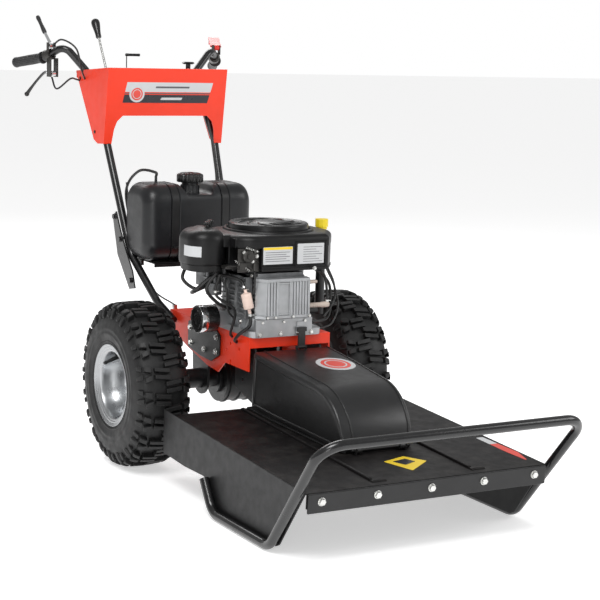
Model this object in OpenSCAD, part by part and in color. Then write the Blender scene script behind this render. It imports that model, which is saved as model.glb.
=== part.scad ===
/* [Wheels] */
// Outer diameter of the tyres over their lugs
tyre_d = 494; // [480:2:510]
// Section width of a tyre
tyre_w = 172; // [160:2:180]
// Distance between the tyres' centre planes
track = 686; // [676:2:700]
// Outer diameter of the rim flanges
rim_d = 246; // [236:2:252]
// Number of shoulder lugs on each side of a tyre
lug_count = 20; // [16:1:24]

/* [Deck] */
// Width of the deck over its side plates
deck_w = 736; // [720:2:760]
// Distance from the axle forward to the deck's front edge
deck_front = 1084; // [1070:2:1100]
// Height of the deck's front edge above the ground
deck_edge_z = 187; // [180:1:195]
// Nose-down rake of the deck, in degrees
deck_rake = 2.7; // [2:0.1:3.5]
// Length of the deck top, front to rear
deck_len = 757; // [750:1:764]
// Length of the cutting blade, tip to tip
blade_len = 700; // [660:5:706]

/* [Bumper] */
// Diameter of the bumper tube
bumper_d = 27; // [24:1:28]
// Height of the bumper's top bar above the ground, to its centre
bumper_z = 335; // [310:1:350]

/* [Engine] */
// Distance from the axle forward to the crankshaft
crank_y = 180; // [176:1:184]
// Diameter of the rotating screen
screen_d = 262; // [240:2:264]

/* [Handle] */
// Diameter of the handle tubes
handle_d = 25; // [22:0.5:26]
// Width of the control console
console_w = 428; // [420:1:436]
// Diameter of the grips
grip_d = 33; // [30:0.5:36]

/* [Hidden] */
$fn = 48;

// Gap between curved faces of pieces that do not fit each other
gap = 0.3;
axle_z = tyre_d / 2;
crank = [0, -crank_y, 0];
plate_z = 428;
side_x = deck_w / 2;
sheet = 2.5;

function unit(v) = v / norm(v);
function setback(a, b, c, r) = r / tan(acos(unit(a - b) * unit(c - b)) / 2);
function arc(c, r, from, to, n) = [for (i = [0:n]) let (t = from + (to - from) * i / n) c + r * [cos(t), sin(t)]];

// A straight bar of diameter d between two points
module bar(p, q, d) {
  v = q - p;
  translate(p) rotate([0, acos(v.z / norm(v)), atan2(v.y, v.x)]) cylinder(d = d, h = norm(v));
}

// A bend of radius r that rounds the corner b of the line a, b, c
module bend(a, b, c, r, d) {
  u = unit(a - b);
  v = unit(c - b);
  theta = acos(u * v);
  centre = b + unit(u + v) * r / sin(theta / 2);
  x = unit(b + u * setback(a, b, c, r) - centre);
  z = cross(x, -u);
  lap = atan(2 / r);
  multmatrix([[x.x, -u.x, z.x, centre.x], [x.y, -u.y, z.y, centre.y], [x.z, -u.z, z.z, centre.z], [0, 0, 0, 1]])
    rotate([0, 0, -lap])
      rotate_extrude(angle = 180 - theta + 2 * lap)
        translate([r, 0]) circle(d = d + 0.3);
}

// A bent tube along pts, with bends of radius r
module tube_run(pts, r, d) {
  n = len(pts);
  for (i = [0:n - 2]) {
    w = unit(pts[i + 1] - pts[i]);
    s = i == 0 ? 0 : setback(pts[i - 1], pts[i], pts[i + 1], r);
    e = i == n - 2 ? 0 : setback(pts[i], pts[i + 1], pts[i + 2], r);
    bar(pts[i] + w * s, pts[i + 1] - w * e, d);
  }
  for (i = [1:1:n - 2]) bend(pts[i - 1], pts[i], pts[i + 1], r, d);
}

// A tube along pts with a 2 mm wall
module pipe_run(pts, r, d, wall = 2) {
  difference() {
    tube_run(pts, r, d);
    tube_run(pts, r, d - 2 * wall - 0.6);
  }
}

// A point on the smooth curve through pts, at t from 0 to 1 along its stretch i
function on_curve(pts, i, t) = let (
    a = pts[max(i - 1, 0)], b = pts[i], c = pts[i + 1], d = pts[min(i + 2, len(pts) - 1)]
  ) 0.5 * (2 * b + (c - a) * t + (2 * a - 5 * b + 4 * c - d) * t * t + (3 * b - a - 3 * c + d) * t * t * t);

// A flexible hose or cable of diameter d that passes smoothly through pts
module hose(pts, d, steps = 4, sides = 10) {
  route = [for (i = [0:len(pts) - 2]) for (k = [0:steps - 1]) on_curve(pts, i, k / steps), pts[len(pts) - 1]];
  n = len(route);
  ways = [for (i = [0:n - 1]) unit(route[min(i + 1, n - 1)] - route[max(i - 1, 0)])];
  side = unit(cross(ways[0], abs(ways[0].z) < 0.8 ? [0, 0, 1] : [1, 0, 0]));
  sides_of = [for (i = 0, v = side; i < n; v = i + 1 < n ? unit(v - ways[i + 1] * (v * ways[i + 1])) : v, i = i + 1) v];
  ring = [for (i = [0:n - 1]) for (k = [0:sides - 1])
    route[i] + d / 2 * (sides_of[i] * cos(360 * k / sides) + cross(ways[i], sides_of[i]) * sin(360 * k / sides))];
  polyhedron(ring, [[for (k = [sides - 1:-1:0]) k], [for (k = [0:sides - 1]) (n - 1) * sides + k],
    for (i = [0:n - 2]) for (k = [0:sides - 1])
      let (a = i * sides + k, b = i * sides + (k + 1) % sides)
        each [[a, b, b + sides], [a, b + sides, a + sides]]]);
}

module mirrored() {
  children();
  mirror([1, 0, 0]) children();
}

// A plate of thickness t cut to an outline in (y, z), its inner face at x
module yz_plate(outline, x, t) {
  translate([x, 0, 0]) rotate([90, 0, 90]) linear_extrude(t) polygon(outline);
}

// A block with vertical rounded corners
module rounded_block(size, r) {
  w = size.x / 2 - r;
  l = size.y / 2 - r;
  linear_extrude(size.z)
    polygon([each arc([w, l], r, 0, 90, 6), each arc([-w, l], r, 90, 180, 6),
      each arc([-w, -l], r, 180, 270, 6), each arc([w, -l], r, 270, 360, 6)]);
}

// A hexagon-head bolt along +Z: washer on z = 0, head above, shank below
module bolt(d, shank) {
  cylinder(d = d * 2.1, h = 1.6);
  translate([0, 0, 1.6]) cylinder(d = d * 1.85, h = d * 0.65, $fn = 6);
  translate([0, 0, -shank]) cylinder(d = d - 0.2, h = shank + 0.5);
}

// ---- Chassis and drive ----

engine_bolt_at = [[-90, -300], [70, -300], [-90, -60], [70, -60]];

module chassis_frame() color("orangered") difference() {
  union() {
    translate([-134, -331, plate_z - 4]) cube([268, 536, 4]);
    mirrored() yz_plate([[-331, plate_z - 3.9], [205, plate_z - 3.9], [205, 372], [70, 330], [-60, 300],
      [-135, 292], [-180, 329], [-331, 329]], 130, 4);
    translate([-134, -331, 397]) cube([268, 4, 28]);
    translate([-134, 201, 380]) cube([268, 4, 45]);
  }
  translate([0, -crank_y, plate_z - 10]) cylinder(d = 74, h = 20);
  for (p = engine_bolt_at) translate([p.x, p.y, plate_z - 10]) cylinder(d = 10.4, h = 20);
  for (p = [[-214, 392], [-190, 370], [-268, 384]])
    translate([-140, p.x, p.y]) rotate([0, 90, 0]) cylinder(d = 9, h = 280);
  translate([-140, -219, 320]) cube([280, 7, 24]);
}

// Bolts of the engine, the front flap and the bumper
module frame_bolts() color("silver") {
  for (p = engine_bolt_at) translate([p.x, p.y, plate_z + 18]) bolt(10, 26);
  on_deck() for (x = flap_bolt_x) translate([x, -6.2, -22]) rotate([90, 0, 0]) bolt(10, 22);
  mirrored() for (p = clip_at) translate([side_x, p.x, p.y]) rotate([0, 90, 0]) bolt(10, 12);
}

// Plates that carry the axle tubes under the chassis
module axle_brackets() color("#202020") mirrored() difference() {
  union() {
    yz_plate([[-62, 404], [62, 404], [48, 225], [-48, 225]], 118, 8);
    translate([118, 0, axle_z]) rotate([0, 90, 0]) cylinder(r = 49, h = 8);
  }
  translate([110, 0, axle_z]) rotate([0, 90, 0]) cylinder(d = 60.4, h = 24);
}

// Side arms that tie the deck to the chassis
module deck_hangers() color("#202020") mirrored() difference() {
  yz_plate([[-440, 217.5], [-345, 222], [-200, 260], [-200, 400], [-318, 400], [-330, 362], [-440, 300]], 104, 6);
  for (y = [-405, -250]) translate([100, y, 290]) rotate([0, 90, 0]) cylinder(d = 12, h = 20);
}

module transaxle() color("#2a2a2a") difference() {
  union() {
    translate([-70, 0, axle_z]) rotate([0, 90, 0]) cylinder(r = 76, h = 140);
    translate([-55, -50, axle_z]) cube([110, 100, 96]);
    translate([0, 30, 330]) cylinder(d = 52, h = 19);
    for (x = [-58, -20, 18, 54]) translate([x, 0, axle_z]) rotate([0, 90, 0]) cylinder(r = 80, h = 4);
  }
  translate([-80, 0, axle_z]) rotate([0, 90, 0]) cylinder(d = 27, h = 160);
  translate([0, 30, 320]) cylinder(d = 16.1, h = 40);
}

module axle_tubes() color("#202020") mirrored() difference() {
  union() {
    translate([70, 0, axle_z]) rotate([0, 90, 0]) cylinder(d = 60, h = 180);
    translate([70, 0, axle_z]) rotate([0, 90, 0]) cylinder(d = 96, h = 10);
  }
  translate([60, 0, axle_z]) rotate([0, 90, 0]) cylinder(d = 27, h = 220);
}

traction_z = 361;

// A V-belt pulley of outer radius r, centred on z = 0, with a groove w wide at the rim
module vee_pulley(r, w, flange = 3) {
  rotate_extrude() polygon([[7, -w / 2 - flange], [r, -w / 2 - flange], [r, -w / 2], [r - 12, -w / 4],
    [r - 12, w / 4], [r, w / 2], [r, w / 2 + flange], [7, w / 2 + flange]]);
}

module input_pulley() color("#777") translate([0, 30, traction_z]) {
  vee_pulley(55, 15);
  translate([0, 0, -31]) cylinder(d = 16, h = 44);
}

module traction_belt() color("#151515") translate([0, 0, traction_z - 4]) linear_extrude(8) difference() {
  hull() {
    translate(crank) circle(35.5);
    translate([0, 30]) circle(53.5);
  }
  hull() {
    translate(crank) circle(27.5);
    translate([0, 30]) circle(45.5);
  }
}

// ---- Wheels ----

// Half section of the tyre: radius against distance from the centre plane
tyre_half = tyre_w / 2;
module tyre_section() {
  r = tyre_d / 2 - 15;
  polygon([[101.4, -56], [101.4, -70.3], [119.5, -70.3], [124, -74.5], [124.5, -80], [136, -83],
    [165, -tyre_half], [192, -83], [214, -76], [r - 7, -62], [r, -34], [r, 34], [r - 7, 62], [214, 76], [192, 83],
    [165, tyre_half], [136, 83], [124.5, 80], [124, 74.5], [119.5, 70.3], [101.4, 70.3], [101.4, 56],
    [130, 66], [160, 76], [205, 66], [222, 40], [222, -40], [205, -66], [160, -76], [130, -66]]);
}

// Band of rubber that the lugs are cut from
module lug_band() {
  r = tyre_d / 2;
  rotate_extrude() polygon([[r - 24, -72], [r - 10, -74], [r - 2, -66], [r, -52], [r, 52], [r - 2, 66],
    [r - 10, 74], [r - 24, 72]]);
}

module lugs() {
  pitch = 360 / lug_count;
  intersection() {
    lug_band();
    union() for (i = [0:lug_count - 1]) {
      rotate(i * pitch) translate([tyre_d / 2 - 30, -12, 10]) rotate([12, 0, 0]) cube([40, 25, 80]);
      rotate((i + 0.5) * pitch) translate([tyre_d / 2 - 30, -13, -10]) rotate([168, 0, 0])
        translate([0, -25, 0]) cube([40, 25, 80]);
    }
  }
}

module at_wheel(side) {
  translate([side * track / 2, 0, axle_z]) rotate([0, side * 90, 0]) children();
}

module tyre(side) color("#1c1c1c") at_wheel(side) {
  rotate_extrude() tyre_section();
  lugs();
}

// The rim is dished: its disc sits inboard, and its barrel steps out to the flange
module rim(side) color("silver") at_wheel(side) difference() {
  f = rim_d / 2;
  rotate_extrude() polygon([[22, -14], [66, -14], [78, -4], [84, -4], [84, -20], [100, -46], [101, -71],
    [f - 3, -71], [f - 3, -75], [97, -75], [96, -48], [80, -24], [80, -10], [68, -18], [22, -18]]);
  for (a = [45:90:359]) rotate(a) translate([50, 0, -30]) cylinder(d = 13, h = 30);
}

// The valve points up and to the rear on both wheels
function valve_turn(side) = side < 0 ? 33 : 147;

module rim_barrel(side) color("silver") at_wheel(side) {
  f = rim_d / 2;
  difference() {
    rotate_extrude() polygon([[82, -6], [88, 22], [99.5, 40], [101, 70.5], [f - 4, 71], [f, 75], [f, 80.5],
      [f - 3, 80.5], [f - 3, 77], [f - 6, 74.1], [98, 74.1], [96, 43], [85, 25], [79, -6]]);
    rotate(valve_turn(side)) translate([85, 0, 8]) rotate([0, 60, 0]) cylinder(d = 12.2, h = 30, center = true);
  }
}

module whole_rim(side) {
  rim(side);
  rim_barrel(side);
  color("#111") at_wheel(side) rotate(valve_turn(side)) translate([90, 0, 6]) rotate([0, -14, 0]) cylinder(d = 11, h = 44);
}

module wheel_axle(side) color("#888") at_wheel(side) {
  translate([0, 0, -track / 2 + 2]) cylinder(d = 25.4, h = track / 2);
  translate([0, 0, -80]) cylinder(d = 44, h = 54);
  translate([0, 0, -26.2]) cylinder(d = 128, h = 8);
  for (a = [45:90:359]) rotate(a) translate([50, 0, 0]) {
    translate([0, 0, -26]) cylinder(d = 12, h = 34);
    translate([0, 0, -13.9]) cylinder(d = 21, h = 12, $fn = 6);
  }
}

// ---- Deck ----

// Places children in the deck's frame: x across, y back from the front edge, z up from its top
module on_deck() {
  translate([0, -deck_front, deck_edge_z]) rotate([deck_rake, 0, 0]) children();
}

spindle_s = 377;
rib_x = [-157, 147];
flap_bolt_x = [-324:162:324];

module deck_shell() color("#242424") on_deck() difference() {
  union() {
    translate([-side_x + 4.2, 0, -4]) cube([deck_w - 8.4, deck_len, 4]);
    translate([-side_x + 4.2, deck_len - 4, -104]) cube([deck_w - 8.4, 4, 101]);
    translate([-side_x + 4.2, 0, -40]) cube([deck_w - 8.4, 4, 37]);
    for (x = rib_x) translate([x - 5, 38, -0.5]) cube([10, deck_len - 50, 8.5]);
    for (x = rib_x) translate([x - 5, 24, -0.5]) cube([44, 16, 5]);
  }
  translate([0, spindle_s, -20]) cylinder(d = 84, h = 40);
  for (x = flap_bolt_x) translate([x, -5, -22]) rotate([-90, 0, 0]) cylinder(d = 10.2, h = 20);
}

side_outline = [[-262, 98], [-400, 91], [-522, 93], [-549, 88], [-596, 28], [-640, 13], [-938, 13], [-958, 22],
  [-1080, 184], [-1078, 187], [-262, 225.5]];
clip_at = [[-1016, 150], [-938, 50]];

module side_plates() color("#242424") mirrored() difference() {
  yz_plate(side_outline, side_x - 4, 4);
  for (p = clip_at) translate([side_x - 10, p.x, p.y]) rotate([0, 90, 0]) cylinder(d = 10.2, h = 20);
}

// Strip bolted along the deck's front edge
module front_flap() color("#2b2b2b") on_deck() difference() {
  translate([-side_x + 6, -6.2, -51]) cube([deck_w - 12, 6, 50]);
  for (x = flap_bolt_x) translate([x, -10, -22]) rotate([-90, 0, 0]) cylinder(d = 10.2, h = 20);
}

bumper_x = side_x + bumper_d / 2 + gap;
bumper_side = [[-bumper_x, -556, 96], [-bumper_x, -613, bumper_d / 2], [-bumper_x, -933, bumper_d / 2],
  [-bumper_x - 13, -1201, bumper_z]];
bumper_path = concat(bumper_side, [for (i = [3:-1:0]) [-bumper_side[i].x, bumper_side[i].y, bumper_side[i].z]]);

module bumper() color("#1e1e1e") pipe_run(bumper_path, 62, bumper_d);

// ---- Blade and its drive ----

module spindle_housing() color("#555") on_deck() translate([0, spindle_s, 0]) difference() {
  union() {
    cylinder(d = 150, h = 8);
    cylinder(d1 = 110, d2 = 78, h = 30);
    cylinder(d = 74, h = 64);
    translate([0, 0, -26]) cylinder(d = 74, h = 30);
  }
  translate([0, 0, -30]) cylinder(d = 34, h = 100);
  translate([0, 0, -30]) cylinder(d = 62.04, h = 20);
  translate([0, 0, 48]) cylinder(d = 62.04, h = 20);
  for (a = [0:60:359]) rotate(a) translate([65, 0, -5]) cylinder(d = 9, h = 20);
}

module spindle_bearings() color("#aaa") on_deck() translate([0, spindle_s, 0])
  for (z = [-26, 48]) translate([0, 0, z]) difference() {
    cylinder(d = 62, h = 15.9);
    translate([0, 0, -1]) cylinder(d = 30.06, h = 20);
  }

module spindle_shaft() color("#999") on_deck() translate([0, spindle_s, 0]) {
  translate([0, 0, -78]) cylinder(d = 30, h = 184);
  translate([0, 0, -58]) cylinder(d = 56, h = 30);
}

module spindle_pulley() color("#777") on_deck() translate([0, spindle_s, 88]) difference() {
  vee_pulley(70, 17);
  translate([0, 0, -20]) cylinder(d = 30.1, h = 40);
}

// Cutting bar with a swept trailing lift at each tip
module blade() color("#8a8a8a") on_deck() translate([0, spindle_s, -68]) difference() {
  union() {
    translate([-blade_len / 2, -38, 0]) cube([blade_len, 76, 8]);
    for (a = [0, 180]) rotate(a) translate([blade_len / 2 - 150, 26, 7]) rotate([25, 0, 0]) cube([146, 26, 6]);
  }
  translate([0, 0, -5]) cylinder(d = 30.1, h = 20);
  for (a = [0, 180]) rotate(a) translate([blade_len / 2 - 150, -50, -6]) rotate([30, 0, 0]) cube([160, 20, 12]);
}

module blade_nut() color("#bbb") on_deck() translate([0, spindle_s, -88]) difference() {
  union() {
    cylinder(d = 50, h = 12, $fn = 6);
    translate([0, 0, 12]) cylinder(d = 66, h = 7.8);
  }
  translate([0, 0, 8]) cylinder(d = 30.1, h = 20);
}

// Distance back along the deck from its front edge to the crankshaft
crank_s = (deck_front - crank_y) / cos(deck_rake) + 4.2;
module blade_belt() color("#151515") on_deck() translate([0, 0, 83.5]) linear_extrude(9) difference() {
  hull() {
    translate([0, spindle_s]) circle(69);
    translate([0, crank_s]) circle(57.5);
  }
  hull() {
    translate([0, spindle_s]) circle(60);
    translate([0, crank_s]) circle(48.5);
  }
}

// ---- Belt cover ----

cover_rear = 750;
cover_nose = 258;
// Side outline of the belt cover, drawn in by t
function cover_side(t) = [[cover_rear + t, 1 - t], [cover_rear + t, 168 - t],
  for (a = [90:10:180]) [420, 1 - t] + [(162 - t) * cos(a), 152 * sin(a)]];
function cover_plan(t) = [[-127 + t, cover_rear + 6], [127 - t, cover_rear + 6], [127 - t, 600],
  [104 - t, 270], [96 - t, cover_nose - 3], [-96 + t, cover_nose - 3], [-104 + t, 270], [-127 + t, 600]];

module cover_form(t) intersection() {
  translate([-150, 0, 0]) rotate([90, 0, 90]) linear_extrude(300) polygon(cover_side(t));
  translate([0, 0, -10]) linear_extrude(200) polygon(cover_plan(t));
}

hinge_s = 246;
hinge_n = 12;
module cover_shell() on_deck() difference() {
  union() {
    cover_form(0);
    mirrored() {
      translate([0, 0, 1]) linear_extrude(4) polygon([[120, cover_rear], [138, cover_rear], [138, 600],
        [116, 300], [100, 290]]);
      translate([60, hinge_s, hinge_n]) rotate([0, 90, 0]) cylinder(d = 18, h = 16);
      translate([60, hinge_s, 5]) cube([16, 22, 14]);
    }
  }
  cover_form(4);
  translate([-100, hinge_s, hinge_n]) rotate([0, 90, 0]) cylinder(d = 8.2, h = 200);
}

// Rubber strap that pulls the cover down against the engine
latch_at = [26, -352, 396];

module belt_cover() color("#1a1a1a") {
  cover_shell();
  for (x = [-16.5, 13.5]) translate(latch_at + [x, -6, -9]) cube([3, 12, 14]);
  bar(latch_at - [16, 0, 0], latch_at + [16, 0, 0], 4);
}

module cover_hinge() color("#777") on_deck() {
  translate([-90, hinge_s, hinge_n]) rotate([0, 90, 0]) cylinder(d = 8, h = 180);
  mirrored() translate([77, hinge_s - 8, 0.2]) cube([4, 16, 20]);
}

module cover_latch() color("#101010") translate(latch_at) difference() {
  union() {
    rotate([0, 90, 0]) cylinder(d = 9, h = 26, center = true);
    translate([-11, -3, 0]) cube([22, 6, 52]);
    translate([-15, -4, 46]) cube([30, 8, 12]);
  }
  rotate([0, 90, 0]) cylinder(d = 4.2, h = 40, center = true);
}

// ---- Engine ----

module oil_sump() color("#b9bcbd") {
  difference() {
    union() {
      translate([-15, -178, plate_z]) rounded_block([236, 330, 18], 26);
      translate([-15, -178, plate_z + 17]) rounded_block([206, 296, 36], 40);
      translate([-168, -190, 440]) cube([60, 34, 46]);
    }
    for (p = engine_bolt_at) translate([p.x, p.y, plate_z - 5]) {
      cylinder(d = 10.4, h = 40);
      translate([0, 0, 23]) cylinder(d = 23, h = 60);
    }
    translate([0, -crank_y, plate_z - 60]) cylinder(d = 40, h = 180);
  }
  translate([-120, -343, plate_z + 1]) cube([185, 12, 51]);
  translate([latch_at.x - 12, -347, 440]) cube([24, 6, 30]);
}

module crankcase() color("#aeb1b2") difference() {
  union() {
    translate([0, -crank_y, 481.2]) cylinder(d = 216, h = 132);
    translate([-96, -292, 481.2]) cube([132, 120, 132]);
    for (z = [490:12:600]) translate([-110, -318, z]) cube([160, 62, 4]);
    translate([-104, -318, 481.2]) cube([148, 28, 130]);
  }
  translate([0, -crank_y, 470]) cylinder(d = 40, h = 160);
}

// Finned cover over the valves, at the front of the cylinder
module rocker_cover() color("#c4c6c7") {
  translate([-116, -348, 482]) cube([172, 29.8, 126]);
  for (x = [-110:22:34]) translate([x, -354, 490]) cube([12, 7, 112]);
  translate([-119, -330, 481.5]) cube([178, 10, 8]);
}

shroud_c = [2, -198];
module blower_housing() color("#1f1f20") difference() {
  union() {
    translate([shroud_c.x, shroud_c.y, 618]) rounded_block([352, 272, 112], 84);
    translate([0, -crank_y, 729]) cylinder(d = screen_d + 22, h = 7);
    translate([-170, -300, 618]) cube([40, 190, 100]);
  }
  translate([0, -crank_y, 700]) cylinder(d = screen_d + 6, h = 50);
  translate([shroud_c.x, shroud_c.y, 615]) rounded_block([342, 262, 110], 79);
}

// Finned cover that turns with the flywheel
module rotating_screen() color("#232323") translate([0, -crank_y, 0]) difference() {
  rotate_extrude() polygon([[0, 726], [screen_d / 2 - 2, 726], [screen_d / 2, 729], [screen_d / 2, 738],
    [screen_d / 2 - 5, 741], [84, 736], [52, 744], [24, 745], [0, 745]]);
  for (a = [0:15:359]) rotate(a) translate([88, -2, 720]) cube([32, 4, 30]);
}

module crankshaft() color("#777") translate([0, -crank_y, 0]) {
  translate([0, 0, 296]) cylinder(d = 28, h = 418);
  translate([0, 0, 632]) cylinder(d = 226, h = 50);
  translate([0, 0, 713]) cylinder(d = 60, h = 12.8);
  translate([0, 0, 318.5]) rotate_extrude() polygon([[0, -20], [60, -20], [60, -13], [47, -10], [47, 10],
    [60, 13], [60, 18], [0, 18]]);
  translate([0, 0, traction_z]) vee_pulley(38, 17);
}

air_x = -239;
module air_cleaner() color("#2a2a2b") {
  translate([air_x, -217, 634]) rounded_block([128, 154, 78], 52);
  translate([air_x, -217, 711.8]) rounded_block([118, 142, 18], 46);
  translate([air_x, -217, 729.7]) rounded_block([92, 114, 14], 36);
  translate([air_x + 3, -217, 616]) rounded_block([118, 140, 18.2], 48);
  for (p = [[-228, -214], [-196, -180]]) translate([p.x, p.y, 743]) {
    cylinder(d = 10, h = 8);
    translate([0, 0, 7]) cylinder(d = 20, h = 9, $fn = 8);
  }
}

module carburettor() color("#8d9092") {
  translate([-210, -190, 560]) cube([44, 60, 55.8]);
  translate([-188, -205, 540]) cylinder(d = 46, h = 34);
  translate([-190, -150, 585]) rotate([0, 90, 0]) cylinder(d = 40, h = 82);
  translate([-222, -228, 590]) cube([90, 34, 4]);
  for (x = [-214, -190, -160]) translate([x, -214, 570]) cylinder(d = 10, h = 44);
}

module muffler() color("#3a3634") {
  translate([92, -2, 481.4]) rounded_block([130, 92, 116], 30);
  bar([60, -96, 540], [60, -40, 540], 34);
  bar([92, 30, 520], [92, 70, 520], 30);
}

module oil_filter() color("#151515") translate([-168, -173, 463]) rotate([0, -90, 0]) {
  cylinder(d = 78, h = 8);
  translate([0, 0, 7.9]) cylinder(d = 82, h = 48);
  translate([0, 0, 55.8]) cylinder(d = 72, h = 5);
}

tube_at = [200, -150];
module filler_tube() color("#1c1c1c") difference() {
  union() {
    translate([tube_at.x, tube_at.y, 452]) cylinder(d = 28, h = 260);
    translate([88.1, tube_at.y, 464]) rotate([0, 90, 0]) cylinder(d = 22, h = 110);
  }
  translate([tube_at.x, tube_at.y, 458]) cylinder(d = 22, h = 260);
}

module dipstick() color("gold") translate([tube_at.x, tube_at.y, 0]) {
  translate([0, 0, 712.3]) cylinder(d = 34, h = 8);
  translate([0, 0, 719]) cylinder(d = 40, h = 24, $fn = 10);
  translate([0, 0, 700]) cylinder(d = 21, h = 14);
  translate([-3, -1, 470]) cube([6, 2, 232]);
}

filter_end = [-133, -322, 512];
filter_top = [-141, -316, 556];
module fuel_filter() color("#e8dcd2") {
  bar(filter_end, filter_top, 30);
  bar(filter_end - [-3, 2, 16], filter_top + [-3, 2, 12], 9);
}

// Fuel, breather and vacuum hoses round the engine
module engine_hoses() color("#161616") {
  hose([[-129.6, -324.3, 494], [-132, -328, 464], [-146, -292, 434], [-146, -264, 412], [-136, -256, 404]], 10);
  hose([[-144.6, -313.5, 570.4], [-150, -292, 592], [-182, -240, 600], [-188, -232, 576]], 10);
  hose([[-200, -262, 606], [-210, -262, 548], [-150, -266, 500], [-146, -236, 430], [-136, -226, 414]], 8);
  hose([[-226, -262, 600], [-262, -236, 560], [-230, -150, 540], [-180, -120, 548]], 12);
  hose([[96, -300, 612], [124, -304, 596], [136, -304, 540], [136, -304, 517]], 8);
  hose([[120, -272, 608], [152, -290, 560], [150, -290, 470], [92.5, -300, 456]], 8);
}

module spark_plug() color("#e9d9d0") translate([59.5, -304, 508]) rotate([0, 90, 0]) {
  cylinder(d = 22, h = 10, $fn = 6);
  translate([0, 0, 9]) cylinder(d = 14, h = 52);
  translate([0, 0, 60]) cylinder(d = 17, h = 22);
}

// ---- Fuel tank ----

tank_c = [0, 366, 688];
strap_x = [-88, 88];
tank_size = [378, 188, 246];
// A rounded box, as the overlap of three rounded blocks
module tank_form() intersection() {
  translate([0, 0, -tank_size.z / 2]) rounded_block(tank_size, 44);
  rotate([90, 0, 0]) translate([0, 0, -tank_size.y / 2])
    rounded_block([tank_size.x, tank_size.z, tank_size.y], 48);
  rotate([90, 0, 90]) translate([0, 0, -tank_size.x / 2])
    rounded_block([tank_size.y, tank_size.z, tank_size.x], 56);
}
// A slice of the tank w wide at x, grown by out all round
module tank_slice(x, w, out) {
  translate([x - w / 2, tank_c.y, tank_c.z]) rotate([90, 0, 90])
    rounded_block([tank_size.y + 2 * out, tank_size.z + 2 * out, w], 56 + out);
}

module fuel_tank() color("#1b1b1d") difference() {
  union() {
    translate(tank_c) tank_form();
    translate([0, 358, 740]) cylinder(d = 62, h = 70);
    translate([0, 358, 780]) cylinder(d = 50, h = 40);
    translate([-114, 372, 800]) cylinder(d = 16, h = 16);
  }
  translate([0, 358, 700]) cylinder(d = 40, h = 160);
  mirrored() bar(lower_path[2] + 15 * unit(lower_path[1] - lower_path[2]), upper_path[0], handle_d + 13);
  mirrored() bar(upper_path[0] - [0, 4, 9], upper_path[1], handle_d + 6);
}

// Shelf under the tank, with the two steel straps that hold it down
module tank_bracket() color("#1c1c1c") {
  translate([-152, 288, 559]) cube([304, 152, 4]);
  mirrored() translate([151, 372, 545]) cube([9, 44, 18]);
  for (x = strap_x) difference() {
    tank_slice(x, 26, 2.2);
    tank_slice(x, 40, 0);
  }
}

module fuel_cap() color("#141414") translate([0, 358, 0]) difference() {
  union() {
    translate([0, 0, 812]) cylinder(d = 82, h = 26);
    translate([0, 0, 837.9]) cylinder(d1 = 80, d2 = 66, h = 7);
    for (a = [0:20:359]) rotate(a) translate([40, 0, 813]) cylinder(d = 6, h = 22, $fn = 8);
  }
  translate([0, 0, 800]) cylinder(d = 50.6, h = 32);
}

// ---- Handle ----

lower_path = [[-148, 150, 402], [-152, 262, 442], [-180, 402, 572], [-181, 448, 642]];
upper_path = [[-181, 449, 643.4], [-197, 585, 935], [-197, 750, 1146], [-272, 768, 1232], [-316, 826, 1192],
  [-370, 957, 1170]];

module lower_handles() color("#1c1c1c") mirrored() {
  pipe_run(lower_path, 70, handle_d);
  translate([-134.2, 190, 400]) rotate([0, -90, 0]) cylinder(d = 18, h = 4);
}

bracket_x = -201.7;
// Height-adjustment plates that join the lower handles to the handlebars
module handle_brackets() color("#1c1c1c") mirrored() {
  yz_plate([[330, 478], [372, 470], [470, 570], [512, 690], [488, 708], [452, 650], [406, 590], [352, 530]],
    bracket_x, 5);
  for (p = [[494, 691], [446, 622], [358, 500]])
    translate([bracket_x, p.x, p.y]) rotate([0, -90, 0]) bolt(9, 4);
  for (p = [[446, 622], [358, 500]])
    translate([bracket_x + 4.9, p.x, p.y]) rotate([0, 90, 0]) cylinder(d = 16, h = 3.6);
}

module handlebars() color("#1c1c1c") mirrored() pipe_run(upper_path, 34, handle_d);

console_tilt = 8;
console_h = 250;
console_base = [0, 567, 921];
console_front = [[-214, 0], [-187, 0], [-181, 48], [-172, 74], [-153, 93], [153, 93], [172, 74], [181, 48],
  [187, 0], [214, 0], [214, console_h], [-214, console_h]];
console_side = [[566.5, 921], [617, 918], [650, 930], [808, 1146], [806, 1150], [531.8, 1168.4]];

module console() color("orangered") difference() {
  console_sheets();
  mirrored() tube_run(upper_path, 34, handle_d + 2);
}

module console_sheets() {
  translate(console_base) rotate([90 + console_tilt, 0, 0]) linear_extrude(sheet)
    scale([console_w / 428, 1]) polygon(console_front);
  mirrored() yz_plate(console_side, console_w / 2 - sheet, sheet);
  translate([-console_w / 2 + 1, 804, 1126]) cube([console_w - 2, sheet, 22]);
}

shift_x = -150;
choke_at = [-112, 622];
knob_at = [104, 604];
shift_pivot = [shift_x, 662, 1094];
module console_top() color("#1a1a1a") {
  difference() {
    console_lid();
    mirrored() tube_run(upper_path, 34, handle_d + 3);
  }
  for (x = [-13, 10]) translate(shift_pivot + [x, -10, -10]) cube([3, 20, 67]);
  bar(shift_pivot - [12, 0, 0], shift_pivot + [12, 0, 0], 7);
}

module console_lid() {
  translate([0, 537, 1164]) rotate([-4.2, 0, 0]) difference() {
    translate([-console_w / 2 + 3, 0, -5]) cube([console_w - 6, 266, 3]);
    translate([shift_x - 8, 130, -10]) cube([16, 80, 20]);
    translate([choke_at.x, choke_at.y - 537, -10]) cylinder(d = 9, h = 20);
    translate([knob_at.x, knob_at.y - 537, -10]) cylinder(d = 17, h = 20);
  }
}

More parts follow.
